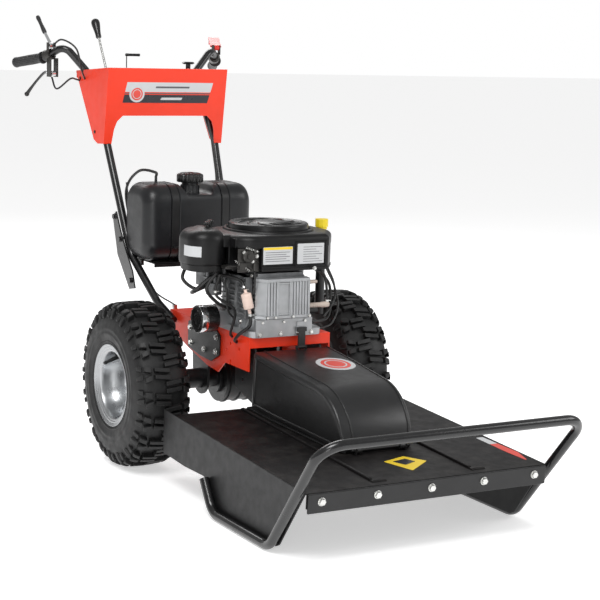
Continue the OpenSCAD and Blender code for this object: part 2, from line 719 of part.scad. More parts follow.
// Direction in which the grips point, outward and to the rear
grip_dir = unit(upper_path[5] - upper_path[4]);
grip_end = upper_path[5] + grip_dir * 4;
module grips() color("#1d1d1d") mirrored() difference() {
  union() {
    bar(grip_end - grip_dir * 132, grip_end, grip_d);
    bar(grip_end - grip_dir * 136, grip_end - grip_dir * 128, grip_d + 8);
    bar(grip_end - grip_dir * 8, grip_end + grip_dir * 2, grip_d + 3);
  }
  bar(grip_end - grip_dir * 150, grip_end - grip_dir * 3.5, handle_d + 0.2);
}

perch = [-304, 810, 1200];
brake_pivot = [-304, 786, 1140];
drive_pivot = [-306, 802, 1232];
presence_pivot = [306, 802, 1236];
// Bowden cables from the levers, the throttle rod and the tank's vent hose, each held at both ends
cable_d = 6;
brake_cable = [[-304, 800, 1126], [-300, 764, 1090], [-262, 742, 1124], [-232, 768, 1122], [-216, 772, 1118]];
drive_cable = [[-306, 788, 1232], [-296, 730, 1252], [-262, 690, 1224], [-240, 700, 1160], [-216, 728, 1125]];
shift_cable = [[176, 600, 1080], [166, 566, 990], [166, 520, 900], [166, 496, 790], [162, 480, 700],
  [160, 478, 560], [126, 330, 470], [100, 205.5, 440]];
choke_rod = [[-160, 500, 800], [-158, 474, 700], [-154, 474, 560], [-136, 330, 470], [-118, 205.5, 440]];
vent_hose = [[-114, 372, 816.1], [-114, 372, 828], [-115, 376, 843], [-148, 432, 842], [-152, 520, 770], [-142, 492, 640],
  [-140, 480, 540]];
module control_cables() color("#101010") {
  hose(brake_cable, cable_d);
  hose(drive_cable, cable_d);
  hose(shift_cable, 8);
  hose(choke_rod, 5);
  hose(vent_hose, 9);
}

module lever_perches() color("#333") {
  difference() {
    union() {
      mirrored() bar(perch - grip_dir * 4 - [0, 2, -3], perch + grip_dir * 26, handle_d + 12);
      for (x = [-13.5, 10.5]) {
        translate(brake_pivot + [x, -10, -12]) cube([3, 36, 62]);
        translate(drive_pivot + [x, -8, -24]) cube([3, 16, 33]);
        translate(presence_pivot + [x, -8, -24]) cube([3, 16, 33]);
      }
    }
    mirrored() tube_run(upper_path, 34, handle_d + 0.4);
  }
  for (p = [brake_pivot, drive_pivot, presence_pivot]) bar(p - [12, 0, 0], p + [12, 0, 0], 7);
}

module brake_lever() color("#666") {
  difference() {
    union() {
      bar(brake_pivot - [7, 0, 0], brake_pivot + [7, 0, 0], 16);
      tube_run([brake_pivot, brake_pivot + [0, 50, 6], brake_pivot + [-18, 120, -32],
        brake_pivot + [-34, 158, -74]], 40, 12);
    }
    bar(brake_pivot - [20, 0, 0], brake_pivot + [20, 0, 0], 7.1);
  }
  translate(brake_pivot + [-34, 158, -76]) sphere(d = 17);
}

module drive_lever() color("#222") difference() {
  union() {
    bar(drive_pivot, drive_pivot + [-8, 44, 44], 10);
    bar(drive_pivot + [-7, 38, 38], drive_pivot + [-14, 92, 94], 15);
    bar(drive_pivot - [6.5, 0, 0], drive_pivot + [6.5, 0, 0], 16);
  }
  bar(drive_pivot - [20, 0, 0], drive_pivot + [20, 0, 0], 7.1);
}

module presence_lever() color("#d8232a") difference() {
  union() {
    bar(presence_pivot - [9, 0, 0], presence_pivot + [9, 0, 0], 18);
    translate(presence_pivot) rotate([14, 0, 0]) translate([-6, 0, -2]) cube([12, 20, 5]);
    translate(presence_pivot) rotate([14, 0, -22]) translate([-19, 14, -2]) cube([38, 116, 5]);
    translate(presence_pivot) rotate([14, 0, -22]) translate([-19, 96, -14]) cube([38, 5, 14]);
  }
  bar(presence_pivot - [20, 0, 0], presence_pivot + [20, 0, 0], 7.1);
}

module gear_lever() color("#9a9a9a") difference() {
  union() {
    bar(shift_pivot - [8, 0, 0], shift_pivot + [8, 0, 0], 16);
    bar(shift_pivot, shift_pivot + [0, 112, 176], 9);
    bar(shift_pivot + [0, 110, 172], shift_pivot + [0, 142, 224], 27);
  }
  bar(shift_pivot - [20, 0, 0], shift_pivot + [20, 0, 0], 7.1);
}

module choke_handle() color("#111") {
  translate([choke_at.x, choke_at.y, 1130]) cylinder(d = 5, h = 78);
  translate([choke_at.x - 3, choke_at.y, 1208]) rotate([0, 90, 0]) cylinder(d = 9, h = 46);
}

module pto_knob() color("#111") translate([knob_at.x, knob_at.y, 0]) {
  translate([0, 0, 1130]) cylinder(d = 10, h = 50);
  translate([0, 0, 1163]) cylinder(d = 16, h = 20);
  translate([0, 0, 1182]) cylinder(d1 = 30, d2 = 44, h = 4);
  translate([0, 0, 1185.9]) cylinder(d1 = 44, d2 = 34, h = 4);
}

chassis_frame();
frame_bolts();
axle_brackets();
deck_hangers();
transaxle();
axle_tubes();
input_pulley();
traction_belt();
tyre(-1);  // tyre_right
tyre(1);  // tyre_left
whole_rim(-1);  // rim_right
whole_rim(1);  // rim_left
wheel_axle(-1);  // axle_right
wheel_axle(1);  // axle_left
deck_shell();
side_plates();
front_flap();
bumper();
spindle_housing();
spindle_bearings();
spindle_shaft();
spindle_pulley();
blade();
blade_nut();
blade_belt();
belt_cover();
cover_hinge();
cover_latch();
control_cables();
oil_sump();
crankcase();
rocker_cover();
blower_housing();
rotating_screen();
crankshaft();
air_cleaner();
carburettor();
muffler();
oil_filter();
filler_tube();
dipstick();
fuel_filter();
engine_hoses();
spark_plug();
fuel_tank();
tank_bracket();
fuel_cap();
lower_handles();
handle_brackets();
handlebars();
console();
console_top();
grips();
lever_perches();
brake_lever();
drive_lever();
presence_lever();
gear_lever();
choke_handle();
pto_knob();
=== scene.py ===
import math
import bmesh
import bpy
from mathutils import Matrix, Vector


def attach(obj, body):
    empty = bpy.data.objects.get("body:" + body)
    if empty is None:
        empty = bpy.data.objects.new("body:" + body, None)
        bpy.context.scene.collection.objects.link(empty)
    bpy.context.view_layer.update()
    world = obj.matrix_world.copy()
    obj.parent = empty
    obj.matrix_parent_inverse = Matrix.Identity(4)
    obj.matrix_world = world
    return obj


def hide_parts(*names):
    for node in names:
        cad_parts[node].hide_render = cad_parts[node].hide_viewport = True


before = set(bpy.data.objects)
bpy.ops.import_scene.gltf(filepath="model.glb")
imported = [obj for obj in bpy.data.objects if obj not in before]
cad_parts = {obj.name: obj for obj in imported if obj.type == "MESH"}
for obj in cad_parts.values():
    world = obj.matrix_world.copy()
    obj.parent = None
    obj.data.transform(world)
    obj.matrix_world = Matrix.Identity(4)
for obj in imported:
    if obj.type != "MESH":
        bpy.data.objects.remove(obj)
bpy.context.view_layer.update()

MM = 0.001
AXLE_Z = 247
ON_DECK = Matrix.Translation((0, -1084, 187)) @ Matrix.Rotation(math.radians(2.7), 4, "X")


# ---- Geometry, in millimetres ----

def frame_at(origin, x=(1, 0, 0), y=(0, 1, 0), z=(0, 0, 1)):
    """A matrix that puts local axes x, y and z at origin."""
    m = Matrix.Identity(4)
    for col, v in enumerate((x, y, z, origin)):
        for row in range(3):
            m[row][col] = v[row]
    return m


def along(p, q, roll=(0, 0, 1)):
    """A frame at p whose Z points to q."""
    z = (Vector(q) - Vector(p)).normalized()
    side = Vector(roll).cross(z)
    x = (side if side.length > 0.05 else Vector((1, 0, 0)).cross(z)).normalized()
    return frame_at(p, x, z.cross(x), z)


def crosswise(at, way=1):
    """A frame at a point whose Z runs across the machine."""
    return frame_at(at, (0, 1, 0), (0, 0, 1), (way, 0, 0))


def wheel_frame(side):
    """The wheel's frame: Z outboard along the axle, X up or down."""
    return Matrix.Translation((side * 343, 0, AXLE_Z)) @ Matrix.Rotation(math.radians(90 * side), 4, "Y")


def fillet_path(points, radius, step=7):
    """The line through points with its corners rounded."""
    pts = [Vector(p) for p in points]
    out = [pts[0]]
    for a, b, c in zip(pts, pts[1:], pts[2:]):
        u, v = (a - b).normalized(), (c - b).normalized()
        angle = u.angle(v)
        if angle > math.radians(179):
            out.append(b)
            continue
        back = min(radius / math.tan(angle / 2), (a - b).length * 0.49, (c - b).length * 0.49)
        r = back * math.tan(angle / 2)
        centre = b + (u + v).normalized() * r / math.sin(angle / 2)
        start, turn = b + u * back - centre, math.pi - angle
        axis = start.cross(b + v * back - centre).normalized()
        n = max(2, int(math.degrees(turn) / step) + 1)
        out += [centre + Matrix.Rotation(turn * i / n, 3, axis) @ start for i in range(n + 1)]
    return out + [pts[-1]]


def smooth_path(points, steps=8):
    """A smooth curve through points."""
    pts = [Vector(p) for p in points]
    pts = [pts[0] * 2 - pts[1]] + pts + [pts[-1] * 2 - pts[-2]]
    out = []
    for a, b, c, d in zip(pts, pts[1:], pts[2:], pts[3:]):
        for k in range(steps):
            t = k / steps
            out.append(0.5 * (2 * b + (c - a) * t + (2 * a - 5 * b + 4 * c - d) * t * t
                              + (3 * b - a - 3 * c + d) * t ** 3))
    return out + [pts[-2]]


def round_rect(w, l, r, n=6, cx=0, cy=0):
    """Points round a rectangle w by l with corners of radius r."""
    out = []
    for q, (sx, sy) in enumerate(((1, 1), (-1, 1), (-1, -1), (1, -1))):
        for i in range(n + 1):
            a = math.pi / 2 * (q + i / n)
            out.append((cx + sx * (w / 2 - r) + r * math.cos(a), cy + sy * (l / 2 - r) + r * math.sin(a)))
    return out


def round_corners(outline, radii, n=5):
    """A closed outline with each corner rounded by its own radius."""
    out = []
    count = len(outline)
    for i, b in enumerate(outline):
        a, c, r = outline[i - 1], outline[(i + 1) % count], radii[i]
        if not r:
            out.append(tuple(b))
            continue
        path = fillet_path([(*a, 0), (*b, 0), (*c, 0)], r, 90 / n)[1:-1]
        out += [(p.x, p.y) for p in path]
    return out


class Shape:
    """Closed forms gathered into one mesh."""

    def __init__(self, place=None):
        self.verts, self.faces, self.place = [], [], place or Matrix.Identity(4)

    def add(self, verts, faces, place=None):
        m = self.place @ place if place else self.place
        base = len(self.verts)
        self.verts += [m @ Vector(v) for v in verts]
        self.faces += [tuple(base + i for i in f) for f in faces]
        return self

    def rings(self, rings, place=None, closed=False, wrap=True):
        n, count = len(rings[0]), len(rings)
        faces = []
        for i in range(count if closed else count - 1):
            j = (i + 1) % count
            for k in range(n if wrap else n - 1):
                m = (k + 1) % n
                faces.append((i * n + k, i * n + m, j * n + m, j * n + k))
        if not closed:
            faces.append(tuple(range(n - 1, -1, -1)))
            faces.append(tuple((count - 1) * n + k for k in range(n)))
        return self.add([p for r in rings for p in r], faces, place)

    def prism(self, outline, lo, hi, place=None):
        return self.rings([[(x, y, h) for x, y in outline] for h in (lo, hi)], place)

    def block(self, lo, hi, place=None):
        corners = [(lo[0], lo[1]), (hi[0], lo[1]), (hi[0], hi[1]), (lo[0], hi[1])]
        return self.prism(corners, lo[2], hi[2], place)

    def lathe(self, profile, place=None, steps=64, closed=False):
        """A solid of revolution from (radius, height) points."""
        rings = []
        for i in range(steps):
            a = 2 * math.pi * i / steps
            rings.append([(r * math.cos(a), r * math.sin(a), h) for r, h in profile])
        return self.rings(rings, place, closed=True, wrap=closed)

    def sweep(self, path, radius, sides=18, place=None, flat=1.0):
        """A tube along path. radius is a number or one number for each point."""
        pts = [Vector(p) for p in path]
        n = len(pts)
        side, rings = None, []
        for i, p in enumerate(pts):
            way = (pts[min(i + 1, n - 1)] - pts[max(i - 1, 0)]).normalized()
            if side is None:
                side = way.cross(Vector((0, 0, 1)) if abs(way.z) < 0.9 else Vector((1, 0, 0))).normalized()
            side = (side - way * side.dot(way)).normalized()
            up = way.cross(side)
            r = radius[i] if isinstance(radius, (list, tuple)) else radius
            rings.append([p + r * (side * math.cos(2 * math.pi * k / sides)
                                   + up * flat * math.sin(2 * math.pi * k / sides)) for k in range(sides)])
        return self.rings(rings, place)

    def bolt(self, at, way, d=10, washer=True):
        """A hexagon head with its washer, standing on at along way."""
        place = along(at, Vector(at) + Vector(way))
        if washer:
            self.lathe([(0, 0), (d * 1.05, 0), (d * 1.05, 1.4), (0, 1.4)], place, 28)
        r = d * 0.9
        hexa = [(r * math.cos(math.pi / 3 * i), r * math.sin(math.pi / 3 * i)) for i in range(6)]
        inner = [(x * 0.86, y * 0.86) for x, y in hexa]
        h = d * 0.62
        self.rings([[(x, y, 1.3) for x, y in hexa], [(x, y, h) for x, y in hexa],
                    [(x, y, h + 1.4) for x, y in inner]], place)
        return self

    def boss(self, at, half):
        """A lever's pivot eye, half of its width to each side of at."""
        return self.lathe([(3.6, -half), (8, -half), (8, half), (3.6, half)], crosswise(at), 28, closed=True)

    def both(self):
        """Adds this shape's mirror image across the centre plane."""
        base = len(self.verts)
        self.verts += [Vector((-v.x, v.y, v.z)) for v in self.verts]
        self.faces += [tuple(base + i for i in reversed(f)) for f in self.faces]
        return self


def piece(name, shape, material, body="chassis", bevel=0, segments=2, angle=32, replaces=()):
    """Makes a shape into an object that rides on a body."""
    mesh = bpy.data.meshes.new(name)
    mesh.from_pydata([v * MM for v in shape.verts], [], shape.faces)
    bm = bmesh.new()
    bm.from_mesh(mesh)
    bmesh.ops.remove_doubles(bm, verts=bm.verts, dist=2e-6)
    bmesh.ops.dissolve_degenerate(bm, edges=bm.edges, dist=1e-6)
    bmesh.ops.recalc_face_normals(bm, faces=bm.faces)
    bm.to_mesh(mesh)
    bm.free()
    return dress(mesh, name, material, body, bevel, segments, angle, replaces)


def dress(mesh, name, material, body="chassis", bevel=0, segments=2, angle=32, replaces=()):
    """Makes a mesh into an object with its material, smoothing, body and slot."""
    mesh.materials.append(material)
    obj = bpy.data.objects.new(name, mesh)
    bpy.context.scene.collection.objects.link(obj)
    for p in mesh.polygons:
        p.use_smooth = True
    if bevel:
        add_bevel(obj, bevel, segments, angle)
    else:
        mesh.set_sharp_from_angle(angle=math.radians(angle + 8))
    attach(obj, body)
    if replaces:
        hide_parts(*replaces)
    return obj


def add_bevel(obj, width, segments=2, angle=32):
    mod = obj.modifiers.new("Bevel", "BEVEL")
    mod.width = width * MM
    mod.segments = segments
    mod.limit_method = "ANGLE"
    mod.angle_limit = math.radians(angle)
    mod.harden_normals = True


def paint(node, material, bevel=0.8, segments=2):
    """Gives a CAD node its material and softens its edges."""
    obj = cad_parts[node]
    if not obj.material_slots:
        obj.data.materials.append(None)
    for s in obj.material_slots:
        s.material = material
    if "custom_normal" in obj.data.attributes:
        obj.data.attributes.remove(obj.data.attributes["custom_normal"])
    for p in obj.data.polygons:
        p.use_smooth = True
    weld = obj.modifiers.new("Weld", "WELD")
    weld.merge_threshold = 2e-5
    flat = obj.modifiers.new("Planar", "DECIMATE")
    flat.decimate_type = "DISSOLVE"
    flat.angle_limit = math.radians(0.6)
    if bevel:
        add_bevel(obj, bevel, segments)
    else:
        split = obj.modifiers.new("Split", "EDGE_SPLIT")
        split.split_angle = math.radians(35)


# ---- Materials ----

DUST = (0.30, 0.28, 0.25)


def surface(name, color, rough, metal=0.0, tint=0.08, tint_scale=9.0, grain=0.1, grain_scale=800.0,
            vary=0.05, coat=0.0, dust=0.0, specular=0.5):
    """A surface with colour drift, uneven gloss, fine relief and a little settled dust."""
    mat = bpy.data.materials.new(name)
    mat.use_nodes = True
    tree = mat.node_tree
    new, link = tree.nodes.new, tree.links.new
    bsdf = tree.nodes["Principled BSDF"]
    bsdf.inputs["Metallic"].default_value = metal
    bsdf.inputs["Specular IOR Level"].default_value = specular
    bsdf.inputs["Coat Weight"].default_value = coat
    bsdf.inputs["Coat Roughness"].default_value = 0.12
    coord = new("ShaderNodeTexCoord")

    def noise(scale, detail=3.0):
        n = new("ShaderNodeTexNoise")
        n.inputs["Scale"].default_value = scale
        n.inputs["Detail"].default_value = detail
        link(coord.outputs["Object"], n.inputs["Vector"])
        return n.outputs["Fac"]

    def remap(value, lo, hi, out_lo, out_hi):
        m = new("ShaderNodeMapRange")
        for key, v in zip(("From Min", "From Max", "To Min", "To Max"), (lo, hi, out_lo, out_hi)):
            m.inputs[key].default_value = v
        link(value, m.inputs["Value"])
        return m.outputs["Result"]

    def blend(fac, a, b):
        m = new("ShaderNodeMix")
        m.data_type = "RGBA"
        link(fac, m.inputs[0])
        for socket, v in ((6, a), (7, b)):
            if isinstance(v, tuple):
                m.inputs[socket].default_value = (*v, 1)
            else:
                link(v, m.inputs[socket])
        return m.outputs[2]

    dark = tuple(c * (1 - tint) for c in color)
    light = tuple(min(1, c * (1 + tint)) for c in color)
    base = blend(remap(noise(tint_scale, 5), 0.3, 0.7, 0, 1), dark, light)
    if dust:
        geo = new("ShaderNodeNewGeometry")
        split = new("ShaderNodeSeparateXYZ")
        link(geo.outputs["Normal"], split.inputs["Vector"])
        up = remap(split.outputs["Z"], 0.2, 1.0, 0, 1)
        cloud = remap(noise(22, 6), 0.45, 0.75, 0, dust)
        both = new("ShaderNodeMath")
        both.operation = "MULTIPLY"
        link(up, both.inputs[0])
        link(cloud, both.inputs[1])
        base = blend(both.outputs[0], base, DUST)
    link(base, bsdf.inputs["Base Color"])
    link(remap(noise(35, 4), 0.3, 0.7, max(0.02, rough - vary), min(1, rough + vary)),
         bsdf.inputs["Roughness"])
    if grain:
        bump = new("ShaderNodeBump")
        bump.inputs["Strength"].default_value = grain
        bump.inputs["Distance"].default_value = 0.0006
        link(noise(grain_scale, 2), bump.inputs["Height"])
        link(bump.outputs["Normal"], bsdf.inputs["Normal"])
    return mat


orange = surface("orange_powder_coat", (0.84, 0.034, 0.004), 0.44, tint=0.05, grain=0.12,
                 grain_scale=620, coat=0.05)
black_coat = surface("black_powder_coat", (0.006, 0.006, 0.0065), 0.36, tint=0.2, grain=0.28,
                     grain_scale=700, vary=0.06, dust=0.03)
# The deck top wears the same black powder coat as the other black parts. Its base colour is set darker here, with a
# faint red cast, and the darkness is painted shade.
deck_shaded_coat = surface("deck_top_painted_shade", (0.0034, 0.0026, 0.0028), 0.52, tint=0.25, grain=0.35,
                    grain_scale=560, vary=0.08, dust=0.05,
                    specular=0.26)
# The side plates wear the same black powder coat as the other black parts. Their base colour is set lighter here as a
# painted sheen, which is a painted reflection of the light.
sheet_painted_sheen = surface("side_plate_painted_sheen", (0.009, 0.009, 0.0095), 0.46, tint=0.12, grain=0.22,
                     grain_scale=650, vary=0.06, dust=0.03,
                     specular=0.34)
tube_gloss = surface("tube_gloss_coat", (0.006, 0.006, 0.0065), 0.24, tint=0.15, grain=0.12,
                     grain_scale=420, coat=0.3)
hood_plastic = surface("hood_plastic", (0.012, 0.012, 0.0125), 0.34, tint=0.15, grain=0.3,
                       grain_scale=900)
tank_plastic = surface("tank_plastic", (0.007, 0.0075, 0.009), 0.36, tint=0.2, grain=0.3,
                       grain_scale=500, vary=0.06, dust=0.03)
engine_plastic = surface("engine_plastic", (0.005, 0.005, 0.0053), 0.40, tint=0.15, grain=0.25,
                         grain_scale=1000, dust=0.03,
                         specular=0.30)
screen_plastic = surface("screen_plastic", (0.0045, 0.0045, 0.0048), 0.30, tint=0.15, grain=0.12,
                         grain_scale=900,
                         specular=0.38)
dark_steel = surface("dark_steel", (0.055, 0.053, 0.05), 0.42, metal=0.7, tint=0.3, tint_scale=30,
                     grain=0.3, grain_scale=400, vary=0.12, dust=0.08)
cast = surface("cast_alloy", (0.42, 0.43, 0.44), 0.42, metal=0.75, tint=0.12, tint_scale=26,
               grain=0.5, grain_scale=480, vary=0.1)
cast_fine = surface("cover_casting", (0.40, 0.41, 0.42), 0.40, metal=0.7, tint=0.1,
                    tint_scale=30, grain=0.3, grain_scale=600, vary=0.08)
cast_dark = surface("cylinder_casting", (0.20, 0.205, 0.21), 0.5, metal=0.6, tint=0.3,
                    tint_scale=30, grain=0.5, grain_scale=420, vary=0.12)
zinc = surface("zinc_plate", (0.68, 0.68, 0.66), 0.27, metal=1.0, tint=0.1, tint_scale=60, grain=0.12,
               grain_scale=900, vary=0.08)
chrome = surface("chrome_plate", (0.78, 0.79, 0.80), 0.13, metal=1.0, tint=0.04, grain=0.04, vary=0.04)
rim_silver = surface("rim_silver", (0.42, 0.43, 0.44), 0.30, metal=1.0, tint=0.05, tint_scale=18,
                     grain=0.10, grain_scale=500, vary=0.06)
rubber = surface("tyre_rubber", (0.0045, 0.0045, 0.0047), 0.56, tint=0.25, tint_scale=14,
                 grain=0.55, grain_scale=420, vary=0.1, dust=0.02)
hose_rubber = surface("hose_rubber", (0.013, 0.013, 0.013), 0.42, tint=0.2, grain=0.3,
                      grain_scale=700, vary=0.08)
grip_rubber = surface("grip_rubber", (0.02, 0.02, 0.021), 0.5, tint=0.2, grain=0.5,
                      grain_scale=900, vary=0.08)
knob_plastic = surface("knob_plastic", (0.010, 0.010, 0.010), 0.26, tint=0.15, grain=0.1,
                       vary=0.05)
red_plastic = surface("red_plastic", (0.70, 0.018, 0.012), 0.34, tint=0.1, grain=0.15, vary=0.06)
yellow_plastic = surface("yellow_plastic", (0.86, 0.66, 0.015), 0.36, tint=0.08, grain=0.15)
pale_plastic = surface("pale_plastic", (0.80, 0.62, 0.54), 0.4, tint=0.1, grain=0.15)
boot_rubber = surface("boot_rubber", (0.62, 0.52, 0.45), 0.5, tint=0.2, grain=0.4)
white_film = surface("white_film", (0.56, 0.57, 0.58), 0.42, tint=0.03, grain=0.04)
black_film = surface("black_film", (0.012, 0.013, 0.02), 0.3, tint=0.1, grain=0.04)
yellow_film = surface("yellow_film", (0.85, 0.60, 0.02), 0.38, tint=0.05, grain=0.05)
red_film = surface("red_film", (0.72, 0.07, 0.05), 0.36, tint=0.08, grain=0.05)
grey_film = surface("grey_film", (0.10, 0.10, 0.11), 0.5, tint=0.06, grain=0.05)


# ---- Wheels ----

def tyre(side, name, body):
    """A knobbly tyre: a ribbed carcass with staggered bars and shoulder lugs."""
    place = wheel_frame(side)
    outer = [(119.5, 70.8), (122.5, 74), (124.2, 78.6), (128, 80.6), (131, 82.6), (134, 81.6), (138, 82.6),
             (148, 84.2), (152, 86), (156, 86.2), (159, 85), (166, 85.4), (171, 86.2), (174, 85), (186, 83.6),
             (198, 80), (208, 76), (216, 70), (223, 62), (228, 50), (231, 36), (232.6, 20), (233, 0)]
    inner = [(222, 0), (221, 40), (205, 64), (160, 75), (130, 66), (101.6, 57)]
    half = [(101.6, 70.1)] + outer
    profile = half + [(r, -h) for r, h in reversed(half[:-1])] + [(r, -h) for r, h in reversed(inner)] + inner[1:]
    carcass = Shape(place).lathe(profile, steps=144, closed=True)
    piece(name + "_carcass", carcass, rubber, body, replaces=(name,), angle=24)

    base = [(0, 232.5), (20, 232), (36, 230.5), (50, 227.5), (62, 222.5), (70, 215.5), (76, 207.5), (80, 197.5)]
    crown = [(0, 247), (20, 247), (38, 246.2), (53, 244), (66, 238.5), (75, 229), (81, 216), (83.8, 201)]

    def across(line, t):
        s = min(abs(t), 0.9999) * (len(line) - 1)
        i = int(s)
        f = s - i
        h, r = (line[i][k] * (1 - f) + line[i + 1][k] * f for k in (0, 1))
        return (h if t >= 0 else -h), r

    lugs = Shape(place)

    def lug(u0, u1, t0, t1, slant=0.0, narrow=0.0, height=1.0, steps=4):
        """A block from u0 to u1 round the tyre and t0 to t1 across it."""
        rings = []
        for i in range(steps + 1):
            f = i / steps
            t = t0 + (t1 - t0) * f
            shift = slant * (f - 0.5)
            pinch = narrow * f
            ring = []
            for line, edge, inset in ((base, u0, 0), (base, u1, 0), (crown, u1, -1.1), (crown, u0, 1.1)):
                h, r = across(line, t)
                if line is crown:
                    hb, rb = across(base, t)
                    h, r = hb + (h - hb) * height, rb + (r - rb) * height
                inward = pinch if edge == u0 else -pinch
                a = (edge + shift + inset + inward) / 240
                ring.append((r * math.cos(a), r * math.sin(a), h))
            rings.append(ring)
        lugs.rings(rings)

    count = 20
    pitch = 2 * math.pi * 240 / count
    for i in range(count):
        for way, shift in ((1, 0), (-1, pitch / 2)):
            u = i * pitch + shift
            lug(u - 18, u - 2.5, -0.05 * way, 0.31 * way, slant=6, narrow=1.0)
            lug(u + 2.5, u + 18, -0.05 * way, 0.31 * way, slant=6, narrow=1.0)
            lug(u - 23, u - 4, 0.37 * way, 0.60 * way, slant=-6, narrow=1.5)
            lug(u + 6, u + 25, 0.40 * way, 0.64 * way, slant=5, narrow=1.5, height=0.95)
            lug(u - 17, u + 3, 0.67 * way, 0.97 * way, slant=-5, narrow=3.0)
            lug(u + 14, u + 32, 0.71 * way, 0.93 * way, slant=4, narrow=2.5, height=0.88)
    piece(name + "_lugs", lugs, rubber, body, bevel=1.8, segments=2, angle=40)


def rim(side, name, body):
    """A deep dished rim with stepped outer rings, and its valve."""
    place = wheel_frame(side)
    outboard = [(22, -14), (30, -13.6), (33, -11), (40, -11), (44, -14), (60, -14), (64, -10.5), (70, -8.5),
                (75, -9.5), (78.5, -5.5), (80.5, 0), (83, 9), (86, 22), (91, 32), (94.6, 42), (96.4, 56),
                (97.6, 66), (100, 70.6), (102.6, 72.6), (106.6, 73), (108, 75), (109.4, 75.8), (113.6, 76),
                (115, 78), (116.4, 78.8), (119, 79), (121, 80.8), (122.8, 80.4), (123.3, 78.6)]
    back = [(123, 75.4), (119.6, 71.4), (101.4, 70.6), (99.6, 62), (99, 44), (86, 20), (84, -20), (99.6, -46),
            (101.2, -70.6), (119.6, -71.4), (123, -75.4), (123, -79), (121, -80.6), (119, -79), (116, -75.8),
            (98, -74), (95.6, -48), (80.4, -24), (77, -13), (70, -13), (64, -18), (22, -18)]
    rim_shape = Shape(place).lathe(outboard + back, steps=128, closed=True)
    piece(name, rim_shape, rim_silver, body, replaces=(name[:-6],), angle=30)
    turn = Matrix.Rotation(math.radians(33 if side < 0 else 147), 4, "Z")
    valve = Shape(place @ turn).sweep([(92, 0, 30), (86, 0, 42), (79, 0, 60), (74.5, 0, 73)],
                                      [8.4, 6.6, 5.2, 4.6], 20)
    valve.lathe([(0, 0), (4.6, 0), (5, 2), (5, 11), (3.6, 13), (0, 13.4)],
                along((74.8, 0, 71.8), (71, 0, 84)), 20)
    piece(name + "_valve", valve, hose_rubber, body, bevel=0.4)
    nuts = Shape(place)
    for k in range(4):
        a = math.radians(45 + 90 * k)
        at = (50 * math.cos(a), 50 * math.sin(a), -14)
        nuts.bolt(at, (0, 0, 1), 12)
        nuts.lathe([(0, 8), (5, 8), (5, 14), (3.6, 15.6), (0, 15.6)],
                   Matrix.Translation((at[0], at[1], -14)), 16)
    piece(name + "_nuts", nuts, zinc, body, bevel=0.5)
    hub = Shape(place).lathe([(0, -19), (21.6, -19), (21.6, -6), (18, -2.5), (15, -2.5), (13.5, -5), (0, -5)],
                             steps=48)
    piece(name + "_hub_cap", hub, dark_steel, body, bevel=0.4)


for side, tag in ((-1, "right"), (1, "left")):
    tyre(side, "tyre_" + tag, "wheel_" + tag)
    rim(side, "rim_" + tag + "_shell", "wheel_" + tag)
    paint("axle_" + tag, dark_steel, 0.6)


# ---- Deck and bumper ----

deck = Shape(ON_DECK)
deck.block((-363.8, 0, -4), (363.8, 757, 0))
deck.block((-363.8, 0, -40), (363.8, 4, -3))
deck.block((-363.8, 753, -104), (363.8, 757, -3))
piece("deck_sheet", deck, deck_shaded_coat, bevel=1.6, segments=3, replaces=("deck_shell",))

ribs = Shape(ON_DECK)
for x in (-157, 147):
    for s0, s1, w, h in ((38, 744, 10, 8), (22, 40, 44, 4.6)):
        x0 = x - 5
        loft = []
        for dz, inset in ((-0.6, 0), (h - 2.6, 0.6), (h - 0.8, 2.0), (h, 4.0)):
            loft.append([(x0 + inset, s0 + inset * 2, dz), (x0 + w - inset, s0 + inset * 2, dz),
                         (x0 + w - inset, s1 - inset * 2, dz), (x0 + inset, s1 - inset * 2, dz)])
        ribs.rings(loft)
piece("deck_ribs", ribs, deck_shaded_coat, bevel=0.8)

side_line = [(-262, 98), (-400, 91), (-522, 93), (-549, 88), (-596, 28), (-640, 13), (-938, 13), (-958, 22),
             (-1080, 184), (-1078, 187), (-262, 225.5)]
YZ = crosswise((0, 0, 0))
skids = Shape().prism(round_corners(side_line, [4, 8, 8, 12, 20, 12, 10, 12, 2, 1, 4], 4), 364, 368, YZ).both()
piece("side_sheets", skids, sheet_painted_sheen, bevel=1.0, segments=3, replaces=("side_plates",))
strip = Shape(ON_DECK).block((-362, -6.2, -51), (362, -0.2, -1))
piece("front_strip", strip, black_coat, bevel=1.8, segments=3, replaces=("front_flap",))
paint("deck_hangers", black_coat, 0.8)

bumper_side = [(-381.8, -556, 96), (-381.8, -613, 13.5), (-381.8, -933, 13.5), (-394.8, -1201, 335)]
bumper_line = bumper_side + [(-x, y, z) for x, y, z in reversed(bumper_side)]
bumper = Shape().sweep(fillet_path(bumper_line, 62, 5), 13.5, 28)
piece("bumper_tube", bumper, tube_gloss, bevel=0.8, angle=50, replaces=("bumper",))

hardware = Shape()
for x in range(-324, 325, 162):
    hardware.bolt(ON_DECK @ Vector((x, -6.2, -22)), ON_DECK.to_3x3() @ Vector((0, -1, 0)), 10.5)
for x in (-90, 70):
    for y in (-300, -60):
        hardware.bolt((x, y, 446), (0, 0, 1), 10)
for sx in (-1, 1):
    for y, z in ((-1016, 150), (-938, 50)):
        hardware.bolt((sx * 368, y, z), (sx, 0, 0), 10)
hardware.block((-124, 199, 427.6), (-112, 212, 441))
piece("visible_bolts", hardware, zinc, bevel=0.5, replaces=("frame_bolts",))

